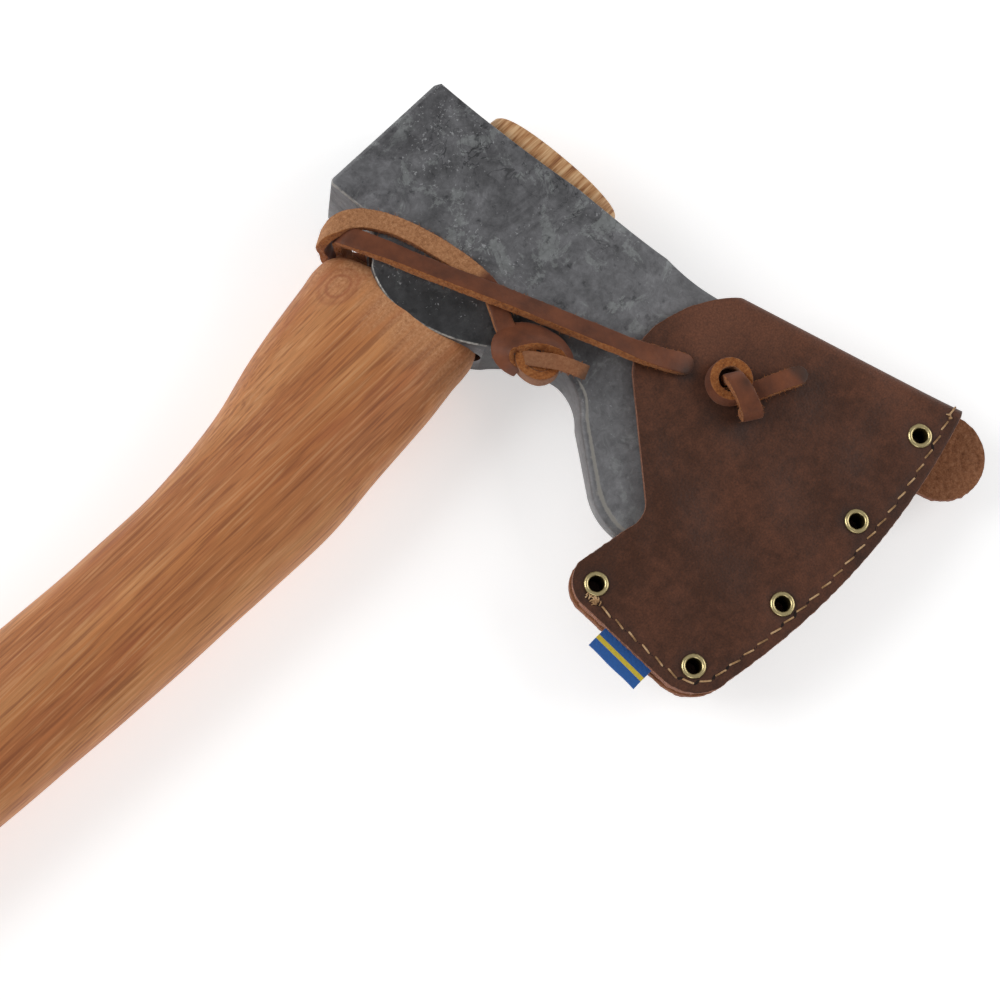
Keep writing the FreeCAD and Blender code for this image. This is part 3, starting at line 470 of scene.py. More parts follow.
def hickory(name="oiled_hickory", grain_turn=(0.0, 0.0, 0.0), pale=0.0):
    """Oiled hickory: long straight grain, reddish late wood, open pores drawn along the grain, low sheen."""
    look = colours()
    material, tree = finish_of(name)
    place = add(tree, "TexCoord", {}, "Object")
    centred = add(tree, "Mapping", {"Vector": place, "Rotation": grain_turn})
    # growth rings 18 mm apart, seen along the grain, so that they run nearly straight and bow where it warps
    bend = add(tree, "Mapping", {"Vector": centred, "Scale": (0.09, 1, 1)})
    warp = add(tree, "TexNoise", {"Vector": bend, "Scale": per(16), "Detail": 3.0}, "Color")
    warp = add(tree, "VectorMath", {0: warp, 1: (0.5, 0.5, 0.5)}, operation="SUBTRACT")
    warp = add(tree, "VectorMath", {0: warp, "Scale": 0.022}, operation="SCALE")
    warped = add(tree, "VectorMath", {0: bend, 1: warp}, operation="ADD")
    ring = add(tree, "TexWave", {"Vector": warped, "Scale": 17.0, "Distortion": 2.4, "Detail": 3.0,
                                 "Detail Scale": 1.4, "Detail Roughness": 0.6}, "Fac", wave_type="BANDS",
               bands_direction="Y")
    streak_at = add(tree, "Mapping", {"Vector": centred, "Scale": (0.03, 1, 1)})
    streak = add(tree, "TexNoise", {"Vector": streak_at, "Scale": per(5), "Detail": 6.0, "Roughness": 0.62})
    tone = add(tree, "Mix", {0: 0.74, 2: ring, 3: streak})
    base = add(tree, "ValToRGB", {"Fac": tone}, stops=[(0.02, tuple(look.wood_dark)),
                                                       (0.5, tuple(look.wood_mid)),
                                                       (1.0, tuple(look.wood_light))])
    # broad reddish clouds 15 mm wide and 70 mm long
    cloud_at = add(tree, "Mapping", {"Vector": centred, "Scale": (0.22, 1, 1)})
    cloud = add(tree, "TexNoise", {"Vector": cloud_at, "Scale": per(15), "Detail": 3.0})
    cloud = add(tree, "MapRange", {"Value": cloud, "From Min": 0.45, "From Max": 0.7, "To Max": 0.45})
    base = add(tree, "Mix", {0: cloud, 6: base, 7: (*hex_colour("ad6238"), 1)}, 2, data_type="RGBA")
    # fibres 1.1 mm wide, as fine as shows: the plain texture of the sawn and scraped grain
    fibre_at = add(tree, "Mapping", {"Vector": centred, "Scale": (0.05, 1, 1)})
    fibre = add(tree, "TexNoise", {"Vector": fibre_at, "Scale": per(1.1), "Detail": 5.0, "Roughness": 0.7})
    fibre_tint = add(tree, "MapRange", {"Value": fibre, "From Min": 0.3, "From Max": 0.7, "To Min": 0.8,
                                        "To Max": 1.18})
    base = add(tree, "Mix", {0: 1.0, 6: base, 7: fibre_tint}, 2, data_type="RGBA", blend_type="MULTIPLY")
    # pores: dark dashes 0.75 mm wide and 20 mm long, coarser than real ones so that they show
    pore_at = add(tree, "Mapping", {"Vector": centred, "Scale": (0.035, 1, 1)})
    pore = add(tree, "TexNoise", {"Vector": pore_at, "Scale": per(0.75), "Detail": 2.0})
    dark = add(tree, "MapRange", {"Value": pore, "From Min": 0.54, "From Max": 0.64, "To Max": 0.42})
    base = add(tree, "Mix", {0: dark, 6: base, 7: (*hex_colour("74381f"), 1)}, 2, data_type="RGBA")
    light = add(tree, "MapRange", {"Value": pore, "From Min": 0.44, "From Max": 0.34, "To Max": 0.32})
    base = add(tree, "Mix", {0: light, 6: base, 7: (*hex_colour("e4ae7c"), 1)}, 2, data_type="RGBA")
    # sanded end of the grain at the shoulder and the tongue: paler, with a short nap
    nap = add(tree, "Attribute", {}, "Fac", attribute_name="nap")
    fuzz = add(tree, "TexNoise", {"Vector": place, "Scale": per(0.8), "Detail": 4.0, "Roughness": 0.7})
    nap_colour = add(tree, "ValToRGB", {"Fac": fuzz},
                     stops=[(0.3, hex_colour("a06c46")), (0.5, hex_colour("c58c61")),
                            (0.72, hex_colour("e0ae82"))])
    ragged = add(tree, "TexNoise", {"Vector": bend, "Scale": per(4), "Detail": 5.0})
    edge = add(tree, "Math", {0: nap, 1: ragged}, operation="ADD")
    edge = add(tree, "MapRange", {"Value": edge, "From Min": 0.72, "From Max": 1.25, "To Max": 0.85})
    base = add(tree, "Mix", {0: edge, 6: base, 7: nap_colour}, 2, data_type="RGBA")
    # the swirl of a pin knot on the shoulder: rings round its middle, 5 mm out to the last
    spot = add(tree, "VectorMath", {0: place, 1: tuple(HOME + SWIRL * MM)}, operation="SUBTRACT")
    spot = add(tree, "VectorMath", {0: spot, 1: (0.78, 1.0, 0.2)}, operation="MULTIPLY")
    spot = add(tree, "VectorMath", {0: spot}, "Value", operation="LENGTH")
    spot = add(tree, "MapRange", {"Value": spot, "From Max": 0.0052})
    ring_marks = add(tree, "ValToRGB", {"Fac": spot},
                     stops=[(0.0, (0.5, 0.5, 0.5)), (0.16, (0.1, 0.1, 0.1)), (0.4, (0.12, 0.12, 0.12)),
                            (0.52, (0.62, 0.62, 0.62)), (0.64, (0.1, 0.1, 0.1)), (0.84, (0.36, 0.36, 0.36)),
                            (1.0, (0.0, 0.0, 0.0))])
    base = add(tree, "Mix", {0: ring_marks, 6: base, 7: (*hex_colour("9a5233"), 1)}, 2, data_type="RGBA")
    # reddish flushes 6 mm wide and 27 mm long
    flush = add(tree, "TexNoise", {"Vector": cloud_at, "Scale": per(6), "Detail": 4.0, "Roughness": 0.6})
    flush = add(tree, "MapRange", {"Value": flush, "From Min": 0.55, "From Max": 0.7, "To Max": 0.5})
    base = add(tree, "Mix", {0: flush, 6: base, 7: (*hex_colour("b0653d"), 1)}, 2, data_type="RGBA")
    # the sawn tongue: short pale and brown lines 1.5 mm apart along the grain
    sawn = add(tree, "Attribute", {}, "Fac", attribute_name="sawn")
    saw_at = add(tree, "Mapping", {"Vector": centred, "Scale": (0.08, 1, 0.3)})
    saw = add(tree, "TexNoise", {"Vector": saw_at, "Scale": per(1.5), "Detail": 3.0, "Roughness": 0.7})
    saw_colour = add(tree, "ValToRGB", {"Fac": saw},
                     stops=[(0.36, hex_colour("8a5632")), (0.46, hex_colour("c18c5c")),
                            (0.62, hex_colour("e6bd8f"))])
    base = add(tree, "Mix", {0: sawn, 6: base, 7: saw_colour}, 2, data_type="RGBA")
    if pale:
        base = add(tree, "Mix", {0: pale, 6: base, 7: (*hex_colour("cf9c70"), 1)}, 2, data_type="RGBA")
    rough = add(tree, "MapRange", {"Value": streak, "From Min": 0.3, "From Max": 0.7, "To Min": 0.42,
                                   "To Max": 0.58})
    rough = add(tree, "Mix", {0: edge, 2: rough, 3: 0.8})
    relief = add(tree, "Math", {0: pore, 1: -1.0}, operation="MULTIPLY")
    grain = add(tree, "Bump", {"Height": relief, "Distance": 0.00012, "Strength": 0.5}, "Normal")
    normal = add(tree, "Bump", {"Height": fuzz, "Distance": 0.0001, "Strength": 0.35, "Normal": grain},
                 "Normal")
    close(tree, {"Base Color": base, "Roughness": rough, "Normal": normal, "IOR": 1.5,
                 "Specular IOR Level": 0.45})
    return material


def waxed_hide():
    """Waxed pull-up cowhide: dark where the wax lies, paler where bent and by a painted highlight on the fold,
    a fine pebbled grain, dull sheen.
    """
    look = colours()
    material, tree = finish_of("waxed_pull_up_hide")
    place = add(tree, "TexCoord", {}, "Object")
    cut = add(tree, "Attribute", {}, "Fac", attribute_name="cut")
    grain = add(tree, "Attribute", {}, "Fac", attribute_name="grain")
    soil = add(tree, "Attribute", {}, "Fac", attribute_name="soil")
    stretch_and_highlight = add(tree, "Attribute", {}, "Fac", attribute_name="stretch_and_highlight")
    cloud = add(tree, "TexNoise", {"Vector": place, "Scale": per(30), "Detail": 7.0, "Roughness": 0.6})
    mottle = add(tree, "TexNoise", {"Vector": place, "Scale": per(3.2), "Detail": 5.0, "Roughness": 0.7})
    shade = add(tree, "Math", {0: cloud, 1: mottle}, operation="ADD")
    shade = add(tree, "MapRange", {"Value": shade, "From Min": 0.85, "From Max": 1.3})
    # paler where the hide is stretched, and a painted highlight along the fold
    shade = add(tree, "Math", {0: shade, 1: stretch_and_highlight}, operation="ADD", use_clamp=True)
    base = add(tree, "Mix", {0: shade, 6: (*look.hide_dark, 1), 7: (*look.hide_light, 1)}, 2, data_type="RGBA")
    warm = add(tree, "MapRange", {"Value": stretch_and_highlight, "From Min": 0.3, "From Max": 1.2, "To Max": 0.5})
    base = add(tree, "Mix", {0: warm, 6: base, 7: (*hex_colour("7c4e39"), 1)}, 2, data_type="RGBA")
    # darker halos where marked: painted shade round the knot, the lace's slot and the stitching, and darkening
    # round the eyelets and along the edges
    halo = add(tree, "TexNoise", {"Vector": place, "Scale": per(7), "Detail": 4.0})
    halo = add(tree, "MapRange", {"Value": halo, "From Min": 0.25, "From Max": 0.7})
    halo = add(tree, "Math", {0: halo, 1: soil}, operation="MULTIPLY")
    base = add(tree, "Mix", {0: halo, 6: base, 7: (*hex_colour("2a1f1c"), 1)}, 2, data_type="RGBA")
    # grain pebbles 0.75 mm across, the smallest size that shows
    pebble = add(tree, "TexVoronoi", {"Vector": place, "Scale": per(0.75), "Randomness": 1.0}, "Distance",
                 feature="F1")
    tiny = add(tree, "TexNoise", {"Vector": place, "Scale": per(0.45), "Detail": 3.0})
    tint = add(tree, "MapRange", {"Value": tiny, "From Min": 0.3, "From Max": 0.7, "To Min": 0.72,
                                  "To Max": 1.26})
    base = add(tree, "Mix", {0: 1.0, 6: base, 7: tint}, 2, data_type="RGBA", blend_type="MULTIPLY")
    # rubs: pale scuffs drawn out 12 to 1
    rub_at = add(tree, "Mapping", {"Vector": place, "Rotation": (0, 0, -0.7), "Scale": (1, 0.08, 1)})
    rub = add(tree, "TexNoise", {"Vector": rub_at, "Scale": per(1.6), "Detail": 3.0})
    rub = add(tree, "MapRange", {"Value": rub, "From Min": 0.7, "From Max": 0.8, "To Max": 0.3})
    base = add(tree, "Mix", {0: rub, 6: base, 7: (*hex_colour("6c4a3a"), 1)}, 2, data_type="RGBA")
    # flesh side: a nap of 0.9 mm tufts
    tuft = add(tree, "TexNoise", {"Vector": place, "Scale": per(0.9), "Detail": 6.0, "Roughness": 0.75})
    nap = add(tree, "ValToRGB", {"Fac": tuft}, stops=[(0.3, hex_colour("704529")), (0.52, tuple(look.suede)),
                                                      (0.75, hex_colour("bf8a66"))])
    edge = add(tree, "ValToRGB", {"Fac": tuft}, stops=[(0.28, hex_colour("623c2a")),
                                                       (0.5, tuple(look.hide_cut)),
                                                       (0.75, hex_colour("b58a70"))])
    smooth = add(tree, "MapRange", {"Value": grain, "From Min": 0.4, "From Max": 0.6})
    base = add(tree, "Mix", {0: smooth, 6: nap, 7: base}, 2, data_type="RGBA")
    frayed = add(tree, "Math", {0: cut, 1: tuft}, operation="ADD")
    frayed = add(tree, "MapRange", {"Value": frayed, "From Min": 0.95, "From Max": 1.15})
    base = add(tree, "Mix", {0: frayed, 6: base, 7: edge}, 2, data_type="RGBA")
    rough = add(tree, "MapRange", {"Value": shade, "To Min": 0.5, "To Max": 0.66})
    raw = add(tree, "Math", {0: 1.0, 1: smooth}, operation="SUBTRACT")
    raw = add(tree, "Math", {0: raw, 1: frayed}, operation="MAXIMUM")
    rough = add(tree, "Mix", {0: raw, 2: rough, 3: 0.95})
    deep = add(tree, "Math", {0: tuft, 1: raw}, operation="MULTIPLY")
    skin = add(tree, "Bump", {"Height": pebble, "Distance": 0.00009, "Strength": 0.45}, "Normal")
    skin = add(tree, "Bump", {"Height": mottle, "Distance": 0.00025, "Strength": 0.35, "Normal": skin},
               "Normal")
    normal = add(tree, "Bump", {"Height": deep, "Distance": 0.0007, "Strength": 0.8, "Normal": skin}, "Normal")
    close(tree, {"Base Color": base, "Roughness": rough, "Normal": normal, "Specular IOR Level": 0.35,
                 "Sheen Weight": 0.08, "Sheen Roughness": 0.5})
    return material


def oiled_lace():
    """Oiled leather lace: a smooth brown grain side, a nappy flesh side and orange raw edges."""
    look = colours()
    material, tree = finish_of("oiled_leather_lace")
    place = add(tree, "TexCoord", {}, "Object")
    cut = add(tree, "Attribute", {}, "Fac", attribute_name="cut")
    grain = add(tree, "Attribute", {}, "Fac", attribute_name="grain")
    soil = add(tree, "Attribute", {}, "Fac", attribute_name="soil")
    wide = add(tree, "TexNoise", {"Vector": place, "Scale": per(9), "Detail": 5.0, "Roughness": 0.65})
    skin = add(tree, "ValToRGB", {"Fac": wide}, stops=[(0.3, hex_colour("552e1b")),
                                                       (0.5, tuple(look.lace_grain)),
                                                       (0.72, hex_colour("82492b"))])
    tuft = add(tree, "TexNoise", {"Vector": place, "Scale": per(0.8), "Detail": 6.0, "Roughness": 0.78})
    flesh = add(tree, "ValToRGB", {"Fac": tuft}, stops=[(0.28, hex_colour("8a5836")),
                                                        (0.5, hex_colour("b88056")),
                                                        (0.75, hex_colour("dca678"))])
    edge = add(tree, "ValToRGB", {"Fac": tuft}, stops=[(0.28, hex_colour("5f3418")),
                                                       (0.5, tuple(look.lace_cut)),
                                                       (0.74, hex_colour("bd8651"))])
    smooth = add(tree, "MapRange", {"Value": grain, "From Min": 0.35, "From Max": 0.6})
    base = add(tree, "Mix", {0: smooth, 6: flesh, 7: skin}, 2, data_type="RGBA")
    frayed = add(tree, "Math", {0: cut, 1: tuft}, operation="ADD")
    frayed = add(tree, "MapRange", {"Value": frayed, "From Min": 0.85, "From Max": 1.1})
    base = add(tree, "Mix", {0: frayed, 6: base, 7: edge}, 2, data_type="RGBA")
    # darker where marked: dirt, and painted shade where the lace goes into its slot
    base = add(tree, "Mix", {0: soil, 6: base, 7: (*hex_colour("2f2620"), 1)}, 2, data_type="RGBA")
    raw = add(tree, "Math", {0: 1.0, 1: smooth}, operation="SUBTRACT")
    raw = add(tree, "Math", {0: raw, 1: frayed}, operation="MAXIMUM")
    rough = add(tree, "Mix", {0: raw, 2: 0.55, 3: 0.95})
    crinkle = add(tree, "TexNoise", {"Vector": place, "Scale": per(1.8), "Detail": 5.0, "Roughness": 0.6})
    deep = add(tree, "Math", {0: tuft, 1: raw}, operation="MULTIPLY")
    soft = add(tree, "Bump", {"Height": crinkle, "Distance": 0.0003, "Strength": 0.45}, "Normal")
    normal = add(tree, "Bump", {"Height": deep, "Distance": 0.0006, "Strength": 0.8, "Normal": soft}, "Normal")
    close(tree, {"Base Color": base, "Roughness": rough, "Normal": normal, "Specular IOR Level": 0.35,
                 "Sheen Weight": 0.1, "Sheen Roughness": 0.5})
    return material


def antiqued_brass():
    """Antiqued brass: a brown-green patina in the hollows, rubbed yellow on the rolled edge."""
    look = colours()
    material, tree = finish_of("antiqued_brass")
    place = add(tree, "TexCoord", {}, "Object")
    rubbed = add(tree, "Attribute", {}, "Fac", attribute_name="rubbed")
    patch_noise = add(tree, "TexNoise", {"Vector": place, "Scale": per(1.1), "Detail": 5.0, "Roughness": 0.7})
    amount = add(tree, "Math", {0: rubbed, 1: patch_noise}, operation="ADD")
    amount = add(tree, "MapRange", {"Value": amount, "From Min": 0.55, "From Max": 1.4})
    base = add(tree, "ValToRGB", {"Fac": amount}, stops=[(0.0, hex_colour("1d1a12")),
                                                         (0.35, hex_colour("584c2c")),
                                                         (0.75, tuple(look.brass)),
                                                         (1.0, hex_colour("d6c491"))])
    rough = add(tree, "MapRange", {"Value": amount, "To Min": 0.6, "To Max": 0.32})
    fine = add(tree, "TexNoise", {"Vector": place, "Scale": per(0.5), "Detail": 3.0})
    normal = add(tree, "Bump", {"Height": fine, "Distance": 0.00005, "Strength": 0.4}, "Normal")
    close(tree, {"Base Color": base, "Metallic": 0.85, "Roughness": rough, "Normal": normal})
    return material


def waxed_linen():
    """Waxed linen thread: two plies laid together, so its colour runs in slanted bands 3 mm apart."""
    look = colours()
    material, tree = finish_of("waxed_linen_thread")
    place = add(tree, "TexCoord", {}, "Object")
    ply = add(tree, "TexWave", {"Vector": place, "Scale": per(0.5) / 20, "Distortion": 1.0}, "Fac",
              wave_type="BANDS", bands_direction="DIAGONAL")
    fibre = add(tree, "TexNoise", {"Vector": place, "Scale": per(0.6), "Detail": 4.0})
    tone = add(tree, "Mix", {0: 0.6, 2: ply, 3: fibre})
    base = add(tree, "ValToRGB", {"Fac": tone}, stops=[(0.2, hex_colour("7f5c37")), (0.5, tuple(look.thread)),
                                                       (0.85, hex_colour("dfbd92"))])
    normal = add(tree, "Bump", {"Height": ply, "Distance": 0.0001, "Strength": 0.5}, "Normal")
    close(tree, {"Base Color": base, "Roughness": 0.75, "Normal": normal, "Sheen Weight": 0.15})
    return material


def hole_shade():
    """Painted shade for the inside of a hole punched in hide: near black, with a faint fibre texture."""
    material, tree = finish_of("hole_shade")
    place = add(tree, "TexCoord", {}, "Object")
    fibre = add(tree, "TexNoise", {"Vector": place, "Scale": per(0.4), "Detail": 2.0})
    base = add(tree, "ValToRGB", {"Fac": fibre}, stops=[(0.35, hex_colour("120b08")),
                                                        (0.7, hex_colour("2c1a12"))])
    close(tree, {"Base Color": base, "Roughness": 0.95})
    return material


def woven_ribbon():
    """Woven polyester label: a blue ground with one yellow band along it, in ribs 0.42 mm apart."""
    look = colours()
    material, tree = finish_of("woven_polyester_label")
    run = add(tree, "Attribute", {}, "Fac", attribute_name="run")
    pick = add(tree, "Attribute", {}, "Fac", attribute_name="pick")
    ribs = add(tree, "Math", {0: run, 1: 2 * math.pi / 0.42}, operation="MULTIPLY")
    ribs = add(tree, "Math", {0: ribs}, operation="SINE")
    ends = add(tree, "Math", {0: pick, 1: 2 * math.pi / 0.5}, operation="MULTIPLY")
    ends = add(tree, "Math", {0: ends}, operation="SINE")
    weave = add(tree, "Math", {0: ribs, 1: ends}, operation="MULTIPLY")
    wobble = add(tree, "Math", {0: ribs, 1: 0.06}, operation="MULTIPLY")
    across = add(tree, "Math", {0: pick, 1: wobble}, operation="ADD")
    band = add(tree, "Math", {0: across, 1: 3.35, 2: 0.62}, operation="COMPARE")
    base = add(tree, "Mix", {0: band, 6: (*look.label_blue, 1), 7: (*look.label_band, 1)}, 2, data_type="RGBA")
    tint = add(tree, "MapRange", {"Value": weave, "From Min": -1.0, "To Min": 0.78, "To Max": 1.12})
    base = add(tree, "Mix", {0: 1.0, 6: base, 7: tint}, 2, data_type="RGBA", blend_type="MULTIPLY")
    normal = add(tree, "Bump", {"Height": weave, "Distance": 0.00012, "Strength": 0.6}, "Normal")
    close(tree, {"Base Color": base, "Roughness": 0.7, "Normal": normal, "Sheen Weight": 0.2})
    return material


def zinc_steel():
    """Mild steel ring wedge, bright zinc gone dull in spots 2 mm across."""
    material, tree = finish_of("zinc_plated_steel")
    place = add(tree, "TexCoord", {}, "Object")
    dull = add(tree, "TexNoise", {"Vector": place, "Scale": per(2), "Detail": 5.0})
    base = add(tree, "ValToRGB", {"Fac": dull}, stops=[(0.3, hex_colour("6d6e70")),
                                                       (0.7, hex_colour("a3a3a2"))])
    rough = add(tree, "MapRange", {"Value": dull, "To Min": 0.3, "To Max": 0.55})
    normal = add(tree, "Bump", {"Height": dull, "Distance": 0.0001, "Strength": 0.3}, "Normal")
    close(tree, {"Base Color": base, "Metallic": 1.0, "Roughness": rough, "Normal": normal})
    return material


def studio_floor():
    """A pale matt studio sweep, lit from below like a light table."""
    material, tree = finish_of("pale_studio_floor")
    close(tree, {"Base Color": (*hex_colour("f6f6f6"), 1), "Roughness": 0.9, "Emission Color": (1, 1, 1, 1),
                 "Emission Strength": 0.45})
    return material


# ---------------------------------------------------------------- the head
EDGE_CENTRE = np.array([29.5, 30.3])       # the middle of the arc that the edge follows
# distance from that middle and half the thickness of the head there
BLADE = np.array([(0, 13.0), (44, 13.0), (50, 12.85), (55, 12.3), (61, 11.2), (70, 9.0), (80, 7.0), (90, 5.5),
                  (110, 3.7), (130, 2.2), (137, 1.6), (142, 0.9), (146.5, 0.1)])
# the head's two sides from the poll to the edge
HEAD_LEFT = [(0, 36, None), (1.2, 23.5, -24), (-8, 12.5, 20), (-10.8, -1.5, 40), (-1.2, -22.6, -26),
             (9, -40.5, -16), (3, -52, None), (-7.4, -66.2, 18), (-10.7, -79.4, None), (-12, -107.2, 3),
             (-9, -111.05)]
HEAD_RIGHT = [(40, 36, 500), (45.3, -10, 160), (49.9, -38, 60), (53.6, -57, None), (72.1, -109.9)]


def blade_half(x, y):
    """Half the head's thickness: a smooth fall with the distance from the middle of the edge's curve."""
    distance = np.hypot(x - EDGE_CENTRE[0], y - EDGE_CENTRE[1])
    near = np.interp(distance, *BLADE.T)
    spread = (np.interp(distance - 2.5, *BLADE.T) + np.interp(distance + 2.5, *BLADE.T)) / 2
    return near + (spread - near) * (1 - ease(120, 140, distance)) * 0.8


def head_shape():
    """The head as loops across it, from the poll to the edge.

    A row is level at the poll and bends into the edge's own curve; along a row the loop runs over the upper
    cheek, round an elliptic corner, down the side and back along the lower cheek.
    """
    left, right = outline(HEAD_LEFT, 0.3), outline(HEAD_RIGHT, 0.3)
    level = np.concatenate([np.linspace(34.6, -108, 236), np.linspace(-109, -116.2, 24)])
    share = ease(-5, -100, level)

    def row_height(x):
        bow = EDGE_CENTRE[1] - np.sqrt(np.maximum((EDGE_CENTRE[1] - level) ** 2 - (x - EDGE_CENTRE[0]) ** 2, 1))
        return level + share * (bow - level)

    ends = []
    for side in (left, right):
        x = np.full(len(level), side[len(side) // 2, 0])
        for _ in range(40):
            x = x + 0.6 * (np.interp(-row_height(x), -side[:, 1], side[:, 0]) - x)
        ends.append(x)
    start, end = ends
    start_y = row_height(start)
    band = np.interp(-start_y, [-36, 20, 40, 48, 100, 112], [0.7, 0.7, 1.0, sizes().beard_band, 2.0, 0.6])
    drop = np.interp(-start_y, [-36, 20, 40, 48, 100, 112], [0.7, 0.7, 0.9, 1.3, 0.9, 0.3])
    turn = np.linspace(0, np.pi / 2, 6)
    middle = np.linspace(0, 1, 62)[1:-1]
    edge_half = blade_half(start, start_y)
    other_half = blade_half(end, row_height(end))
    near_in = np.minimum(band, 3 * edge_half)[:, None] * (1 - np.cos(turn))
    near_drop = np.minimum(drop, 0.8 * edge_half)[:, None] * (1 - np.sin(turn))
    far_in = np.minimum(0.7, 3 * other_half)[:, None] * (1 - np.cos(turn[::-1]))
    far_drop = np.minimum(0.7, 0.8 * other_half)[:, None] * (1 - np.sin(turn[::-1]))
    low, high = start + near_in[:, -1], end - far_in[:, 0]
    x = np.concatenate([start[:, None] + near_in, low[:, None] + middle * (high - low)[:, None],
                        end[:, None] - far_in], 1)
    sink = np.concatenate([near_drop, np.zeros((len(level), len(middle))), far_drop], 1)
    bow = EDGE_CENTRE[1] - np.sqrt(np.maximum((EDGE_CENTRE[1] - level[:, None]) ** 2
                                              - (x - EDGE_CENTRE[0]) ** 2, 1))
    y = level[:, None] + share[:, None] * (bow - level[:, None])
    flat = np.stack([x, y], -1)
    z = np.maximum(blade_half(x, y) - sink, 0.05)
    z = z + 0.1 * ripple(flat, 34, 1) * ease(-108, -60, y)
    # the poll end: its edges are chamfered by 1 mm
    poll = []
    for inset, place in zip((0.0, 0.06, 1.1, 1.2), (34.85, 34.95, 35.95, 36.0)):
        loop = np.stack([20 + (x[0] - 20) * (1 - inset / 20), np.full(x.shape[1], place),
                         np.maximum(z[0] - inset, 0)], -1)
        poll.append(loop)
    upper = np.concatenate([np.array(poll)[::-1], np.stack([x, y, z], -1)])
    lower = upper[:, ::-1] * [1, 1, -1]
    loops = np.concatenate([upper, lower], 1)
    rows, columns = loops.shape[:2]
    half = columns // 2
    faces = grid_faces(rows, columns, True)
    caps = []
    for row in (0, rows - 1):
        first = row * columns + np.arange(half - 1)
        second = row * columns + columns - 1 - np.arange(half - 1)
        cap = np.stack([first, first + 1, second - 1, second], -1)
        caps.append(cap if row else cap[:, ::-1])
    # wear: bright on the lug's rim, the poll's underside edge and the beard's band, faint elsewhere
    side_mark = np.zeros(upper.shape[:2])
    heights = upper[:, :1, 1]
    near = ease(-26, -20, heights) * 0.55 + ease(-40, -48, heights) * 0.24
    side_mark[:, :6] = np.sin(np.linspace(0.15, 1, 6) * np.pi) ** 0.5 * near
    side_mark[:, 1:5] += 0.18
    side_mark[:, -5:-1] = 0.2
    side_mark[:3] = np.maximum(side_mark[:3], 0.2)
    side_mark[:, :1] += 0.12 * ease(-40, -48, heights)
    side_mark[:, 4:6] += np.array([0.12, 1.2]) * ease(-40, -48, heights)
    worn = np.concatenate([side_mark, side_mark[:, ::-1]], 1)
    # black scale on the cheek beside the lace, partly painted shade for the lace's shadow, and darker along the
    # beard's band
    across = 0.9 * upper[..., 0] + 0.436 * upper[..., 1]
    dark = ease(2.5, -3.5, across) * ease(-46, -30, upper[..., 1]) * 0.75
    dark[:, 1:5] = np.maximum(dark[:, 1:5], 0.5 * ease(-44, -60, heights))
    soot_and_shade = np.concatenate([dark, dark[:, ::-1]], 1)
    # painted highlight: the steel turns paler towards the beard
    pale = 0.42 * ease(-36, -58, upper[..., 1])
    beard_highlight = np.concatenate([pale, pale[:, ::-1]], 1)
    marks = {"worn": worn.reshape(-1), "soot_and_shade": soot_and_shade.reshape(-1), "beard_highlight": beard_highlight.reshape(-1)}
    return loops.reshape(-1, 3), np.concatenate([faces] + caps), marks


def oval_tube(stations, sides=96, squareness=2.0):
    """Ovals across X at stations of place, middle, half depth and half thickness, closed at both ends."""
    stations = np.asarray(stations, float)
    angle = np.linspace(0, 2 * np.pi, sides, endpoint=False)
    power = 2 / np.broadcast_to(squareness, len(stations))[:, None]
    deep = np.sign(np.cos(angle)) * np.abs(np.cos(angle)) ** power
    wide = np.sign(np.sin(angle)) * np.abs(np.sin(angle)) ** power
    rings = np.stack([np.repeat(stations[:, :1], sides, 1), stations[:, 1:2] + stations[:, 2:3] * deep,
                      stations[:, 3:4] * wide], -1)
    count = len(stations)
    points = np.concatenate([rings.reshape(-1, 3), rings[0].mean(0, keepdims=True),
                             rings[-1].mean(0, keepdims=True)])
    first = np.arange(sides)
    last = first + (count - 1) * sides
    faces = grid_faces(count, sides, True).tolist()
    faces += np.stack([np.roll(first, -1), first, np.full(sides, count * sides)], -1).tolist()
    faces += np.stack([last, np.roll(last, -1), np.full(sides, count * sides + 1)], -1).tolist()
    return points, faces


class HATCHET_OT_head(bpy.types.Operator):
    """Forges the head and drifts its eye"""

    bl_idname = "hatchet.head"
    bl_label = "Head"

    def execute(self, context):
        eye = oval_tube([(-20, 0, 22.35, 10.7), (60, 0, 20.6, 9.95)], 72)
        make_piece("forged_head", head_shape(), forged_steel(), "axe", "axe_head", 36, eye)
        return {"FINISHED"}


# ---------------------------------------------------------------- the handle and its wedges
TONGUE = 50.4                      # how far the tenon reaches through the head
WEDGE_DEPTH = 26                   # how deep the kerf is sawn and its wedge driven
SWIRL = np.array([-17.1, 14.9, 9.0])           # the middle of the pin knot's swirl on the shoulder
# points round the handle, the power of its oval and what the tongue adds to it
HANDLE_SIDES, OVAL_POWER, TONGUE_POWER = 112, 2.16, 1.5
# place along the handle, its edge on the poll's side, its other edge and half its thickness
HANDLE = [(-1, 13.2, -19.5, 10.4), (-3, 12.9, -21.0, 11.6), (-5, 13.8, -21.9, 12.3), (-6.7, 16.0, -22.3, 12.5),
          (-8, 19.4, -22.5, 12.55), (-9.4, 21.9, -22.7, 12.6), (-12.4, 23.7, -22.9, 12.7),
          (-16, 24.0, -23.4, 12.8), (-22, 22.9, -24.2, 12.85), (-30, 21.5, -24.9, 12.9),
          (-45, 18.2, -26.2, 12.7), (-62, 13.5, -27.9, 12.3), (-82, 10.5, -27.7, 12.0),
          (-110, 10.3, -26.7, 11.8), (-150, 12.4, -24.8, 11.8), (-200, 14.6, -21.4, 11.6),
          (-250, 14.8, -19.2, 11.3), (-310, 12.2, -21.4, 11.3), (-344, 7.6, -28.4, 11.8),
          (-390, 3.1, -39.9, 12.8), (-418, -0.2, -48.2, 13.2), (-429, -4.2, -49.6, 12.3)]


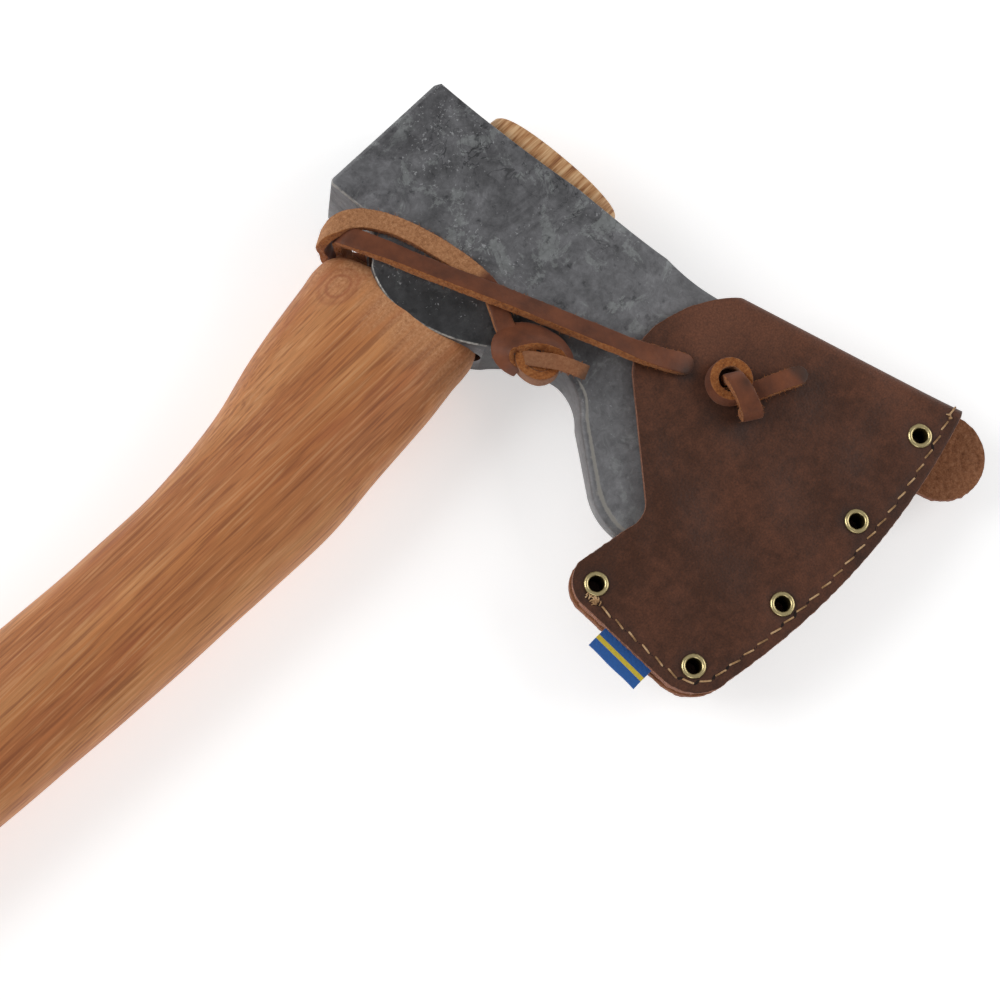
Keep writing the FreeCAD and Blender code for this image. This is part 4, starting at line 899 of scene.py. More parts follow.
def tongue_drop(y):
    """How far the tongue's end is dressed back: it falls away towards the poll."""
    return 0.0032 * np.maximum(y + 12, 0) ** 2


def dressed(points):
    """Sets the tongue's end back by its drop, fading out 6 mm down."""
    share = ease(TONGUE - 8, TONGUE, points[:, 0])
    points[:, 0] -= share * tongue_drop(points[:, 1])
    return points


class HATCHET_OT_handle(bpy.types.Operator):
    """Shapes the handle with its tenon, and drives its two wedges"""

    bl_idname = "hatchet.handle"
    bl_label = "Handle"

    def execute(self, context):
        tenon = [(TONGUE, 0, 19.3, 8.9), (TONGUE - 0.25, 0, 20.1, 9.5), (TONGUE - 0.9, 0, 20.55, 9.85),
                 (TONGUE - 2.5, 0, 20.65, 9.95)]
        tenon += [(x, 0, 20.65 + (48 - x) * 0.026, 9.95 + (48 - x) * 0.0095) for x in np.linspace(46, 1, 20)]
        rough = np.array(HANDLE)
        grip = smooth_line(np.stack([rough[:, 0], (rough[:, 1] + rough[:, 2]) / 2,
                                     (rough[:, 1] - rough[:, 2]) / 2, rough[:, 3]], 1), 330)
        x, middle, deep, thick = grip[-1]
        turn = np.linspace(0.2, 1.45, 7)[:, None]
        knob = np.concatenate([x - 4.9 * np.sin(turn), np.full((7, 1), middle) - 0.4 * np.sin(turn),
                               deep - 4.5 * (1 - np.cos(turn)), thick - 4.5 * (1 - np.cos(turn))], 1)
        stations = np.concatenate([tenon, grip, knob])
        points, faces = oval_tube(stations, HANDLE_SIDES,
                                  OVAL_POWER + TONGUE_POWER * ease(38, 45, stations[:, 0]))
        points = dressed(points)
        outer = ease(2, -12, points[:, 0])
        points[:, 2] *= 1 + 0.004 * ripple(points, 45, 3) * outer
        points[:, 1] += 0.1 * ripple(points, 30, 4) * outer
        nap = ease(-31, -9, points[:, 0]) * (1 - 0.35 * ease(-6, -22, points[:, 1]))
        marks = {"nap": nap * 0.66, "sawn": ease(38, 44, points[:, 0])}
        kerf = oval_tube([(TONGUE - WEDGE_DEPTH, 0, 17.5, 0.3), (TONGUE + 4, 0, 17.55, 1.95)], 40)
        make_piece("hickory_handle", (points, faces, marks), hickory(), "axe", "handle", 60, kerf)
        self.wedges()
        return {"FINISHED"}

    def wedges(self):
        """The wooden wedge fills the kerf, and the ring wedge is driven through it."""
        places = np.linspace(TONGUE - 25.9, TONGUE - 0.1, 30)
        half = 0.3 + (places - places[0]) / WEDGE_DEPTH * 1.5
        stations = np.stack([places, 0 * places, 17.45 + 0 * places, half], 1)
        points, faces = oval_tube(stations, 64, 5.0)
        make_piece("wooden_wedge", (dressed(points), faces), hickory("bare_hickory_wedge", (0, 0, 0.2), 0.45),
                   "axe", "eye_wedge", 40)
        wall = [(6.0, -10.9), (6.3, -10.9), (7.5, -0.2), (7.35, 0.05), (6.1, 0.05), (6.0, -0.1), (6.0, -10.9)]
        points, faces = turned(wall, np.zeros(3), 64)
        points = np.stack([points[:, 2] + TONGUE, points[:, 0], points[:, 1]], 1)
        make_piece("ring_wedge_steel", (dressed(points), faces), zinc_steel(), "axe",
                   "ring_wedge", 40)


# ---------------------------------------------------------------- the sheath
SLIDE = math.radians(19.5)         # the sheath slides off along a line that leans this much
FOLD_OUT = 34.25                   # how far out the fold's back lies, across the slide
FOLD_TURN = 3.6                    # the outer radius of the fold
WELT_HALF = 1.75
PANEL_ROUND, PANEL_UP = 118, 88    # points across a panel and up it
LIGHT_SPOT = (43.0, -60.0)         # where the hide is pulled over the blade's upper corner
SEAM_INSET = 2.6                   # from the edge to the stitching
SLOT_SPOT = (31.8, -61.0)          # where the lace goes into its slot
KNOT_SPOT = (35.5, -75.5)          # the middle of the sheath's knot
# the radii of an eyelet's bore, of its hole in the leather and of its barrel, which fills the hole in the welt
EYELET_BORE, EYELET_HOLE, EYELET_BARREL = 2.0, 2.35, 2.38
SEAM = [(-30, -84.3, None), (-29.3, -112.3, 12), (-17.3, -124.3, 200), (80, -119.3)]
MOUTH = [(-30, -84.3, -7.6), (-22.3, -77.1, None), (-7.5, -80.2, 7), (0.3, -77.6, None), (20.9, -53, -17),
         (36.5, -48.9, -42), (57.1, -59.3)]


def to_slide(points):
    """Plan points in the sheath's own frame, whose second axis is the way that it slides off."""
    c, s = math.cos(SLIDE), math.sin(SLIDE)
    return np.stack([points[..., 0] * c + points[..., 1] * s, points[..., 1] * c - points[..., 0] * s], -1)


def from_slide(points):
    """Points of the sheath's own frame in the maker's frame."""
    c, s = math.cos(SLIDE), math.sin(SLIDE)
    return np.stack([points[..., 0] * c - points[..., 1] * s, points[..., 1] * c + points[..., 0] * s], -1)


def panel_half(x, y):
    """Half the sheath's outer thickness: flat along the seams, then rising to the mouth, with eased turns."""
    rise, ramp = 0.093 * (y + 113.2), 0.3 * (x + 20.0)
    least = (rise + ramp - np.sqrt((rise - ramp) ** 2 + 0.25)) / 2
    return WELT_HALF + (least + np.sqrt(least ** 2 + 0.3)) / 2 + sizes().leather


def seam_inset(inset):
    """The seam's outline moved into the panel by an inset, from the heel to the toe."""
    path = outline(SEAM, 0.25)
    forward = unit(np.gradient(path, axis=0))
    moved = path + np.stack([-forward[:, 1], forward[:, 0]], 1) * inset
    return moved[to_slide(moved)[:, 0] < FOLD_OUT - 0.6]


def panel_grid():
    """The sheath's leather as one sheet: front panel, fold and back panel.

    In plan a panel is a patch between the heel, the seam, the fold and the mouth; the fold is two quarter
    rounds with a nearly flat back between them. Returns the outer face, the inner face and the outer marks.
    """
    bottom, heel = outline(SEAM, 0.1), outline(MOUTH[:2], 0.1)
    side = outline(SEAM[:2], 0.1)
    turn = outline(SEAM[1:3], 0.1)
    seam = outline(SEAM[2:], 0.1)
    mouth = outline(MOUTH[1:], 0.1)
    limit = FOLD_OUT - FOLD_TURN
    bottom = np.concatenate([turn[len(turn) // 2:], seam])
    top = np.concatenate([heel[len(heel) // 2:], mouth])
    left = np.concatenate([side, turn[:len(turn) // 2 + 1]])[::-1]
    left = np.concatenate([left, heel[:len(heel) // 2 + 1]])
    ends = []
    for path in (bottom, top):
        across = to_slide(path)
        run = np.interp([limit, FOLD_OUT], across[:, 0], across[:, 1])
        ends.append(run)
    bottom = np.concatenate([bottom[to_slide(bottom)[:, 0] < limit],
                             from_slide(np.array([[limit, ends[0][0]]]))])
    top = np.concatenate([top[to_slide(top)[:, 0] < limit], from_slide(np.array([[limit, ends[1][0]]]))])
    right = np.stack([bottom[-1], top[-1]])
    u, v = crowded(PANEL_ROUND, 0.35, 100), crowded(PANEL_UP, 0.35, 55)
    plan = patch(bottom, top, left, right, u, v)
    half = panel_half(plan[..., 0], plan[..., 1])
    leather = sizes().leather
    # the blade's bulk shows through, the seam pulls the edges down, and each eyelet sits in a dimple
    inset = np.minimum(u[None, :] * 100, np.minimum(v, 1 - v)[:, None] * 60)
    puff = 0.22 * ripple(plan, 26, 11) * ease(3, 12, inset)
    line = seam_inset(SEAM_INSET)[::4]
    reach = np.sqrt(((plan[:, :, None] - line[None, None]) ** 2).sum(-1)).min(-1)
    groove = -0.22 * np.exp(-(reach / 0.8) ** 2)
    # painted shade in the stitching's groove
    soil = 0.35 * np.exp(-(reach / 2.2) ** 2)
    for eyelet in EYELETS:
        away = np.hypot(plan[..., 0] - eyelet[0], plan[..., 1] - eyelet[1])
        groove -= 0.18 * np.exp(-((away - 3.2) / 1.4) ** 2)
        # darker round each eyelet
        soil += 0.75 * np.exp(-(np.maximum(away - 2.6, 0) / 2.0) ** 2)
    knot_away = np.hypot(plan[..., 0] - KNOT_SPOT[0], plan[..., 1] - KNOT_SPOT[1])
    # painted shade round the knot that stands on the panel
    soil += 0.75 * np.exp(-(np.maximum(knot_away - 5.5, 0) / 4.5) ** 2)
    slot_away = np.hypot(plan[..., 0] - SLOT_SPOT[0], plan[..., 1] - SLOT_SPOT[1])
    # painted shade round the lace's slot
    soil += 0.8 * np.exp(-(np.maximum(slot_away - 2.9, 0) / 1.1) ** 2)
    # darker along the seam's and the heel's edges
    soil += 0.35 * np.exp(-(v[:, None] * 60 / 2.2) ** 2) + 0.35 * np.exp(-(u[None, :] * 100 / 2.2) ** 2)
    # paler where the hide is stretched: round the blade's upper corner, towards the bottom, and along the fold,
    # where it is partly a painted highlight
    stretch_and_highlight = 0.55 * ease(12, 1, (1 - u)[None, :] * 88) * ease(0.02, 0.3, v)[:, None]
    stretch_and_highlight = stretch_and_highlight + 0.85 * np.exp(-((plan[..., 0] - LIGHT_SPOT[0]) / 13) ** 2
                                    - ((plan[..., 1] - LIGHT_SPOT[1]) / 15) ** 2)
    stretch_and_highlight = stretch_and_highlight + 0.1 * ease(-88, -112, plan[..., 1]) + 0.1 * ripple(plan, 30, 13) - 0.16
    front_z = half + puff + groove
    columns = np.linspace(0, np.pi / 2, 9)[1:]
    back_share = np.linspace(1, -1, 11)[1:-1]
    runs = to_slide(plan[:, -1])[:, 1]
    drift = (ends[0][1] - ends[0][0]) * (1 - v) + (ends[1][1] - ends[1][0]) * v
    edge_half = half[:, -1]

    def fold(radius, shrink):
        """Columns round the fold for a turn of that radius: the upper half, the back and the lower half."""
        across = np.concatenate([limit + radius * np.sin(columns), np.full(len(back_share), limit + radius),
                                 limit + radius * np.sin(columns[::-1])])
        tall = (edge_half - shrink)[:, None]
        bend = radius * (1 - np.cos(columns))
        z = np.concatenate([tall - bend, (tall - radius) * back_share, -(tall - bend[::-1])], 1)
        swell = np.concatenate([np.zeros(8), 0.35 * (1 - back_share ** 2), np.zeros(8)])
        across = across + swell
        run = runs[:, None] + drift[:, None] * (np.minimum(across, FOLD_OUT) - limit) / FOLD_TURN
        grid = from_slide(np.stack([np.broadcast_to(across, run.shape), run], -1))
        return np.concatenate([grid, z[..., None]], -1)

    faces = []
    for radius, shrink, front in ((FOLD_TURN, 0.0, front_z), (FOLD_TURN - leather, leather, half - leather)):
        upper = np.concatenate([plan, front[..., None]], -1)
        lower_z = half + puff * 0.5 if shrink == 0 else front
        lower = np.concatenate([plan, -lower_z[..., None]], -1)[:, ::-1]
        faces.append(np.concatenate([upper, fold(radius, shrink), lower], 1))
    count = faces[0].shape[1] - 2 * plan.shape[1]
    # the fold's round is paler too: painted highlight
    spread = np.ones((plan.shape[0], count)) * 0.55 * ease(0.02, 0.3, v)[:, None]
    stretch_and_highlight = np.concatenate([np.broadcast_to(stretch_and_highlight, half.shape), spread,
                             np.broadcast_to(stretch_and_highlight, half.shape)[:, ::-1]], 1)
    soil = np.concatenate([soil, np.zeros((plan.shape[0], count)), soil[:, ::-1] * 0.5], 1)
    return faces[0], faces[1], stretch_and_highlight, np.clip(soil, 0, 0.9)


def eyelet_punches(radius, foot=-15.0):
    """Upright rods from a foot upwards where the eyelets go, as one shape."""
    rods = []
    for eyelet in EYELETS:
        rod = turned([(0, foot), (radius, foot), (radius, 15), (0, 15)], np.array([*eyelet[:2], 0]), 40)
        rods.append((*rod, {}))
    return joined(*rods)


class HATCHET_OT_sheath(bpy.types.Operator):
    """Folds the sheath's leather, lays the welt between its panels and punches both for the eyelets"""

    bl_idname = "hatchet.sheath"
    bl_label = "Sheath"

    def execute(self, context):
        hide = waxed_hide()
        outer, inner, stretch_and_highlight, soil = panel_grid()
        points, faces, cut, face = closed_sheet(outer, inner, 0.28)
        extra = len(points) - stretch_and_highlight.size
        marks = {"cut": cut, "grain": face, "stretch_and_highlight": np.concatenate([stretch_and_highlight.reshape(-1), np.zeros(extra)]),
                 "soil": np.concatenate([soil.reshape(-1), np.zeros(extra)])}
        points = points + (cut * 0.09 * ripple(points, 2.2, 5))[:, None] * [1, 1, 0.3]
        make_piece("folded_hide", (points, faces, marks), hide, "sheath", "sheath_shell", 75,
                   eyelet_punches(EYELET_HOLE, -WELT_HALF - 1.6))
        self.welt(hide)
        return {"FINISHED"}

    def welt(self, hide):
        """The welt: a strip 5 mm wide that follows the seam, set back a little from the panels' edges."""
        count = 420
        insets = (0.45, 0.8, 2.0, 3.5, 4.6, 5.0)
        lines = [along(seam_inset(inset), np.linspace(0, 1, count)) for inset in insets]
        plan = np.stack(lines, 1)
        tall = np.full(plan.shape[:2] + (1,), WELT_HALF - 0.03)
        points, faces, cut, _ = closed_sheet(np.concatenate([plan, tall], -1),
                                             np.concatenate([plan, -tall], -1), 0.2)
        points = points + (cut * 0.12 * ripple(points, 2.6, 6))[:, None] * [1, 1, 0]
        marks = {"cut": np.maximum(cut, 0.6), "grain": 0 * cut, "stretch_and_highlight": 0 * cut, "soil": 0.25 + 0 * cut}
        make_piece("seam_welt", (points, faces, marks), hide, "sheath", "welt", 75,
                   eyelet_punches(EYELET_BARREL))


class HATCHET_OT_eyelets(bpy.types.Operator):
    """Sets the five rolled brass eyelets and their washers"""

    bl_idname = "hatchet.eyelets"
    bl_label = "Eyelets"

    def execute(self, context):
        brass = antiqued_brass()
        seat = WELT_HALF + sizes().leather
        for order, place in enumerate(EYELETS, 1):
            centre = np.array([*place[:2], 0])
            lift = float(panel_half(*place[:2])) - seat
            angle = np.linspace(0, np.pi, 14)
            roll = np.stack([2.62 - 0.62 * np.cos(angle), seat + lift - 0.12 + 0.62 * np.sin(angle)], 1)
            barrel = [(3.05, seat + lift - 0.2), (EYELET_BARREL, seat + lift - 0.25),
                      (EYELET_BARREL, -seat - 0.1), (EYELET_BORE, -seat - 0.1)]
            profile = np.concatenate([[(EYELET_BORE, -seat - 0.1)], roll, barrel])
            points, faces = turned(profile, centre, 56)
            points = points + 0.03 * ripple(points, 1.5, order)[:, None] * [1, 1, 0.5]
            rubbed = ease(seat - 0.3, seat + 0.5, points[:, 2])
            make_piece(f"brass_eyelet_{order}", (points, faces, {"rubbed": rubbed}), brass, "sheath",
                       f"eyelet_{order}", 35)
            ring = [(2.4, -seat - 0.05), (2.4, -seat - 0.5), (2.9, -seat - 0.62), (3.25, -seat - 0.3),
                    (3.3, -seat - 0.02), (2.4, -seat - 0.05)]
            curl = [(2.05, -seat), (2.05, -seat - 0.5), (2.3, -seat - 0.72), (2.65, -seat - 0.66),
                    (2.5, -seat - 0.4), (2.3, -seat), (2.05, -seat)]
            washer = joined((*turned(ring, centre, 48), {"rubbed": 0.5}),
                            (*turned(curl, centre, 48), {"rubbed": 0.9}))
            make_piece(f"brass_washer_{order}", washer, brass, "sheath",
                       f"eyelet_washer_{order}", 35)
        return {"FINISHED"}


# an awl slit's turn from the seam, its length and width and the points round it
SLIT_TURN, SLIT_LONG, SLIT_WIDE, SLIT_SIDES = math.radians(38), 2.1, 0.68, 12


class HATCHET_OT_stitching(bpy.types.Operator):
    """Sews both faces of the seam, with a slanted awl slit of painted shade at each stitch hole"""

    bl_idname = "hatchet.stitching"
    bl_label = "Stitching"

    def execute(self, context):
        thread, hole = waxed_linen(), hole_shade()
        line = seam_inset(SEAM_INSET)
        total = np.linalg.norm(np.diff(line, axis=0), axis=1).sum()
        starts = np.arange(4.0, total - 1.5, sizes().stitch)
        for name, side, node in (("upper_stitches", 1, "seam_thread_upper"),
                                 ("lower_stitches", -1, "seam_thread_lower")):
            rods, slits = [], []
            draw = np.random.default_rng(20 + side)
            for number_here, start in enumerate(starts):
                wide = draw.uniform(-0.15, 0.15)
                span = np.linspace(start + 0.7, start + sizes().stitch - 0.5, 9) / total
                path = along(line, np.clip(span, 0, 1))
                sag = np.sin(np.linspace(0, np.pi, 9)) ** 0.5
                skew = np.linspace(-0.3, 0.3, 9)[:, None] * unit(np.array([[path[-1, 1] - path[0, 1],
                                                                          path[0, 0] - path[-1, 0]]]))
                path = path + skew
                height = panel_half(path[:, 0], path[:, 1]) - 0.45 + 0.42 * sag + wide * 0.3
                if number_here in (0, len(starts) - 1):
                    height = height + 0.2
                route = np.concatenate([path, side * height[:, None]], 1)
                points, faces, _, _ = carried(route, (path[-1, 1] - path[0, 1], path[0, 0] - path[-1, 0], 0),
                                              sizes().thread, sizes().thread * 0.8, 2.2, 10)
                rods.append((points, faces, {}))
                slits.append(self.slit(line, start, total, side))
            if side > 0:
                rods += self.back_tack(line, total)
            make_piece(name, joined(*rods), thread, "sheath", node, 60)
            if side > 0:
                slits.append(self.slot_shadow())
            make_piece(name.replace("stitches", "awl_slit_shade"), joined(*slits), hole, "sheath",
                       node, 60)
        return {"FINISHED"}

    def slit(self, line, place, total, side):
        """One awl slit as painted shade: a dark flat lens 2 mm long, turned 38 degrees from the seam and sunk
        in the face.
        """
        centre = along(line, [np.clip(place / total, 0, 1)])[0]
        ahead = along(line, [np.clip((place + 0.5) / total, 0, 1)])[0] - centre
        heading = math.atan2(ahead[1], ahead[0]) + SLIT_TURN
        angle = np.linspace(0, 2 * np.pi, SLIT_SIDES, endpoint=False)
        x, y = SLIT_LONG / 2 * np.cos(angle), SLIT_WIDE / 2 * np.sin(angle)
        plan = centre + np.stack([x * math.cos(heading) - y * math.sin(heading),
                                  x * math.sin(heading) + y * math.cos(heading)], 1)
        top = float(panel_half(*centre))
        loops = [np.concatenate([plan, np.full((SLIT_SIDES, 1), side * (top + lift))], 1)
                 for lift in (-0.16, -0.5)]
        points = np.concatenate(loops + [np.array([[*centre, side * (top - 0.2)],
                                                   [*centre, side * (top - 0.5)]])])
        first = np.arange(SLIT_SIDES)
        last = first + SLIT_SIDES
        faces = grid_faces(2, SLIT_SIDES, True).tolist()
        faces += np.stack([np.roll(first, -1), first, np.full(SLIT_SIDES, 2 * SLIT_SIDES)], -1).tolist()
        faces += np.stack([last, np.roll(last, -1), np.full(SLIT_SIDES, 2 * SLIT_SIDES + 1)], -1).tolist()
        return points, faces, {}

    def slot_shadow(self):
        """The painted shadow of the lace's slot: a dark half ring 0.8 mm wide round the lace's end, sunk in the
        face.
        """
        angle = np.linspace(-2.45, 0.62, 40)
        ring = np.stack([32.0 + 3.5 * np.cos(angle), -60.8 + 3.5 * np.sin(angle)], 1)
        height = panel_half(ring[:, 0], ring[:, 1]) - 0.12
        route = np.concatenate([ring, height[:, None]], 1)
        across = np.stack([np.cos(angle), np.sin(angle), 0 * angle], 1)
        width = 0.9 * np.sin(np.linspace(0.25, np.pi - 0.25, 40)) ** 0.5
        points, faces, _, _ = carried(route, across, width, 0.4, 2.4, 12)
        return points, faces, {}

    def back_tack(self, line, total):
        """The frayed knot at the heel end and the doubled stitches at the toe end: short bits of thread."""
        draw = np.random.default_rng(7)
        bits = []
        for centre_at, spread, count in ((2.6, (0.7, 2.2), 26), (total - 3.2, (0.5, 1.6), 5)):
            centre = along(line, [centre_at / total])[0]
            ahead = unit(along(line, [(centre_at + 1) / total])[0] - centre)
            aside = np.array([-ahead[1], ahead[0]])
            for _ in range(count):
                start = centre + ahead * draw.normal() * spread[1] * 0.6
                start = start + aside * draw.normal() * spread[0] * 0.6
                heading = draw.normal(0, 0.9)
                way = ahead * math.cos(heading) + aside * math.sin(heading)
                reach = draw.uniform(0.6, 1.5)
                bend = aside * draw.normal() * 0.3
                plan = np.stack([start - way * reach / 2, start + bend, start + way * reach / 2])
                height = panel_half(plan[:, 0], plan[:, 1]) + np.array([-0.1, draw.uniform(0.15, 0.5), -0.1])
                route = smooth_line(np.concatenate([plan, height[:, None]], 1), 9)
                points, faces, _, _ = carried(route, (*np.array([-way[1], way[0]]), 0), 0.34, 0.34, 2.2, 8)
                bits.append((points, faces, {}))
        return bits


class HATCHET_OT_label(bpy.types.Operator):
    """Weaves the plain two-colour label that is sewn into the heel seam"""

    bl_idname = "hatchet.label"
    bl_label = "Label"

    def execute(self, context):
        low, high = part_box("woven_label")
        low, high = (np.array(low) - HOME) / MM, (np.array(high) - HOME) / MM
        u, v = np.linspace(0, 1, 40), np.linspace(0, 1, 64)
        x = low[0] + 0.15 + (high[0] - low[0] - 0.3) * u[None, :] + 0.08 * np.sin(v * 9)[:, None]
        y = low[1] + (high[1] - low[1]) * v[:, None] + 0.1 * (1 - u)[None, :] * np.sin(u * 5)[None, :]
        x, y = np.broadcast_arrays(x, y)
        middle = (low[2] + high[2]) / 2 + 0.14 * np.sin(v * 4.1)[:, None] * (1 - u[None, :]) ** 2
        half = sizes().label / 2
        outer = np.stack([x, y, middle + half], -1)
        inner = np.stack([x, y, middle - half], -1)
        points, faces, _, _ = closed_sheet(outer, inner, 0.06, 3)
        marks = {"run": points[:, 1] - low[1], "pick": points[:, 0] - low[0]}
        make_piece("heel_label", (points, faces, marks), woven_ribbon(), "sheath", "woven_label",
                   50)
        return {"FINISHED"}


# ---------------------------------------------------------------- the belt strap
# in the sheath's own frame: the strap's middle line, half its width, its top end and its round end's middle
STRAP_MIDDLE = 22.8
STRAP_HALF = 11.7
STRAP_TOP = -68.4
STRAP_ROUND = -139.9
RIVET_RUNS = (-74.0, -121.6)       # how far along the strap the two pairs of rivets sit
RIVET_SIDE = 6.0                   # from the strap's middle to a rivet
CAP_RADIUS = 4.0
PRESS_SPOT = (72.6, -130.4)        # the ring pressed into the tab
PRESS_RADIUS = 2.6


def strap_seat(run):
    """Height of the lower panel under the strap's middle."""
    spot = from_slide(np.stack([np.full_like(run, STRAP_MIDDLE), np.clip(run, -137, -66)], -1))
    return -panel_half(spot[..., 0], spot[..., 1])


def strap_inner(run):
    """Height of the strap's face against the panel: bedded at both ends, with a loop for the belt between."""
    bow = ease(-79, -87.5, run) * ease(-116.5, -108.5, run)
    return strap_seat(run) - 0.06 - 5.9 * bow - 0.62 * ease(-125.5, -127.8, run)


class HATCHET_OT_strap(bpy.types.Operator):
    """Cuts the belt strap with its round tab and rivets it to the lower panel"""

    bl_idname = "hatchet.strap"
    bl_label = "Belt strap"

    def execute(self, context):
        v = np.concatenate([[0, 0.003], np.linspace(0.01, 0.86, 150), 0.86 + 0.14 * np.sin(np.linspace(
            0.05, np.pi / 2, 34))])
        end = STRAP_ROUND - STRAP_HALF
        run = STRAP_TOP + (end - STRAP_TOP) * v
        wide = np.sqrt(np.maximum(STRAP_HALF ** 2 - np.maximum(STRAP_ROUND - run, 0) ** 2, 0.01))
        top_round = np.maximum(run - (STRAP_TOP - 4), 0)
        wide = wide - (4 - np.sqrt(np.maximum(16 - top_round ** 2, 0)))
        u = crowded(52, 0.3, 23) * 2 - 1
        runs = np.broadcast_to(run[:, None], (len(run), len(u)))
        plan = np.stack([STRAP_MIDDLE + wide[:, None] * u[None, :], runs], -1)
        flat = from_slide(plan)
        face = np.broadcast_to(strap_inner(run)[:, None], flat.shape[:2]).copy()
        # a ring pressed into the suede of the tab
        away = np.hypot(flat[..., 0] - PRESS_SPOT[0], flat[..., 1] - PRESS_SPOT[1])
        press = np.exp(-((away - PRESS_RADIUS) / 0.35) ** 2) * 0.3
        suede = face - press + 0.12 * ripple(flat, 3.0, 31) * ease(-128, -131, run)[:, None]
        upper = np.concatenate([flat, suede[..., None]], -1)
        lower = np.concatenate([flat, (face - sizes().leather)[..., None]], -1)
        points, faces, cut, face_mark = closed_sheet(lower, upper, 0.25)
        points = points + (cut * 0.12 * ripple(points, 1.8, 32))[:, None] * [1, 1, 0.2]
        soil = np.zeros(len(points))
        count = press.size
        soil[count:2 * count] = (press * 2.0).reshape(-1)
        marks = {"cut": cut, "grain": face_mark, "stretch_and_highlight": 0.2 * face_mark, "soil": soil}
        make_piece("strap_of_hide", (points, faces, marks), waxed_hide(), "sheath",
                   "belt_strap", 75)
        self.rivets()
        return {"FINISHED"}

    def rivets(self):
        """Four domed cap rivets, each with a small cap inside the pocket."""
        brass = antiqued_brass()
        order = 0
        for run in RIVET_RUNS:
            for side in (-1, 1):
                order += 1
                spot = from_slide(np.array([STRAP_MIDDLE + side * RIVET_SIDE, run]))
                seat = float(strap_inner(np.array([run]))[0]) - sizes().leather
                inside = -float(panel_half(*spot)) + sizes().leather
                angle = np.linspace(0, np.pi / 2, 9)
                dome = np.stack([CAP_RADIUS * np.sin(angle), seat - 1.45 * np.cos(angle)], 1)
                shank = [(3.9, seat + 0.12), (1.4, seat + 0.12), (1.4, inside), (2.9, inside),
                         (2.7, inside + 0.4), (1.6, inside + 0.6), (0, inside + 0.62)]
                points, faces = turned(np.concatenate([dome, shank]), np.array([*spot, 0]), 48)
                rubbed = ease(4.2, 1.0, np.hypot(points[:, 0] - spot[0], points[:, 1] - spot[1])) * 0.8
                make_piece(f"cap_rivet_{order}", (points, faces, {"rubbed": rubbed}), brass, "sheath",
                           f"strap_rivet_{order}", 35)


# ---------------------------------------------------------------- the lace and its knots
LACE_OVER = [(33.2, -62.2, 8.3), (32.2, -60.9, 9.3), (30.6, -58.9, 10.4), (28.2, -55.6, 11.4),
             (25.0, -50.4, 12.4), (20.9, -42.0, 13.4), (16.4, -32.5, 14.4), (11.6, -22.4, 15.8),
             (7.7, -14.3, 16.7), (3.9, -5.7, 16.3), (-0.1, 4.1, 15.2), (-3.7, 13.1, 14.8), (-6.2, 18.8, 14.6),
             (-7.6, 22.2, 13.9), (-7.7, 23.8, 11.4), (-7.0, 24.0, 6.5), (-6.2, 23.6, 0), (-5.8, 23.4, -7.0),
             (-5.2, 21.8, -12.6), (-3.6, 17.6, -14.5), (-0.6, 9.0, -14.6), (6.0, -6.0, -14.7),
             (14.6, -27.0, -14.6), (22.0, -43.5, -12.6), (27.6, -55.0, -10.9), (29.6, -59.2, -9.2),
             (30.2, -60.4, -6.8)]
LACE_BACK = [(35.6, -58.2, -6.8), (34.9, -57.0, -9.4), (33.2, -53.6, -11.6), (29.0, -45.0, -13.6),
             (20.0, -26.4, -14.7), (10.0, -4.0, -14.7), (3.0, 12.0, -14.7), (-2.0, 20.6, -14.6),
             (-6.4, 24.8, -13.2), (-8.2, 26.5, -8.0), (-9.2, 26.8, 0), (-10.6, 26.7, 6.0), (-11.0, 26.4, 10.8),
             (-8.8, 25.9, 14.2), (-5.0, 24.7, 15.3), (-1.7, 22.4, 15.2), (1.9, 17.8, 14.6), (5.1, 10.6, 14.4),
             (7.4, 2.0, 14.3), (8.8, -6.4, 14.3), (8.6, -13.6, 14.3), (6.4, -18.6, 14.3), (4.4, -22.6, 14.4),
             (3.4, -25.6, 14.8)]


def fuzz(path, across, width, thickness, count, seed):
    """Loose fibres on both cut edges of a strip: thin three-sided spikes that lean anyhow."""
    draw = np.random.default_rng(seed)
    pick = draw.integers(1, len(path) - 1, count)
    side = draw.choice([-1.0, 1.0], count)[:, None]
    forward = unit(np.gradient(path, axis=0))
    upward = unit(np.cross(forward, across))[pick]
    outward = across[pick] * side
    depth = draw.uniform(-0.42, 0.42, count)[:, None]
    root = path[pick] + outward * width[pick][:, None] * 0.485 + upward * depth * thickness
    way = unit(outward + 0.75 * draw.normal(size=(count, 3)))
    way = np.where((way * outward).sum(-1, keepdims=True) < 0.1, outward, way)
    reach = draw.uniform(0.25, 0.85, count)[:, None]
    first = unit(np.cross(way, forward[pick] + 0.01))
    second = np.cross(way, first)
    bend = draw.normal(size=(count, 3)) * 0.12
    turns = np.arange(3) * 2 * np.pi / 3
    around = np.cos(turns)[None, :, None] * first[:, None] + np.sin(turns)[None, :, None] * second[:, None]
    low = root[:, None] - way[:, None] * 0.1 + around * 0.07
    mid = (root + way * reach * 0.55 + bend)[:, None] + around * 0.05
    tip = (root + way * reach + bend * 2.4)[:, None]
    points = np.concatenate([low, mid, tip], 1).reshape(-1, 3)
    start = np.arange(count)[:, None, None] * 7
    sides = (start + np.array([[0, 1, 4, 3], [1, 2, 5, 4], [2, 0, 3, 5]])).reshape(-1, 4).tolist()
    ends = (start + np.array([[0, 2, 1], [3, 4, 6], [4, 5, 6], [5, 3, 6]])).reshape(-1, 3).tolist()
    return points, sides + ends, {"grain": 0.0, "cut": 1.0, "soil": 0.0}


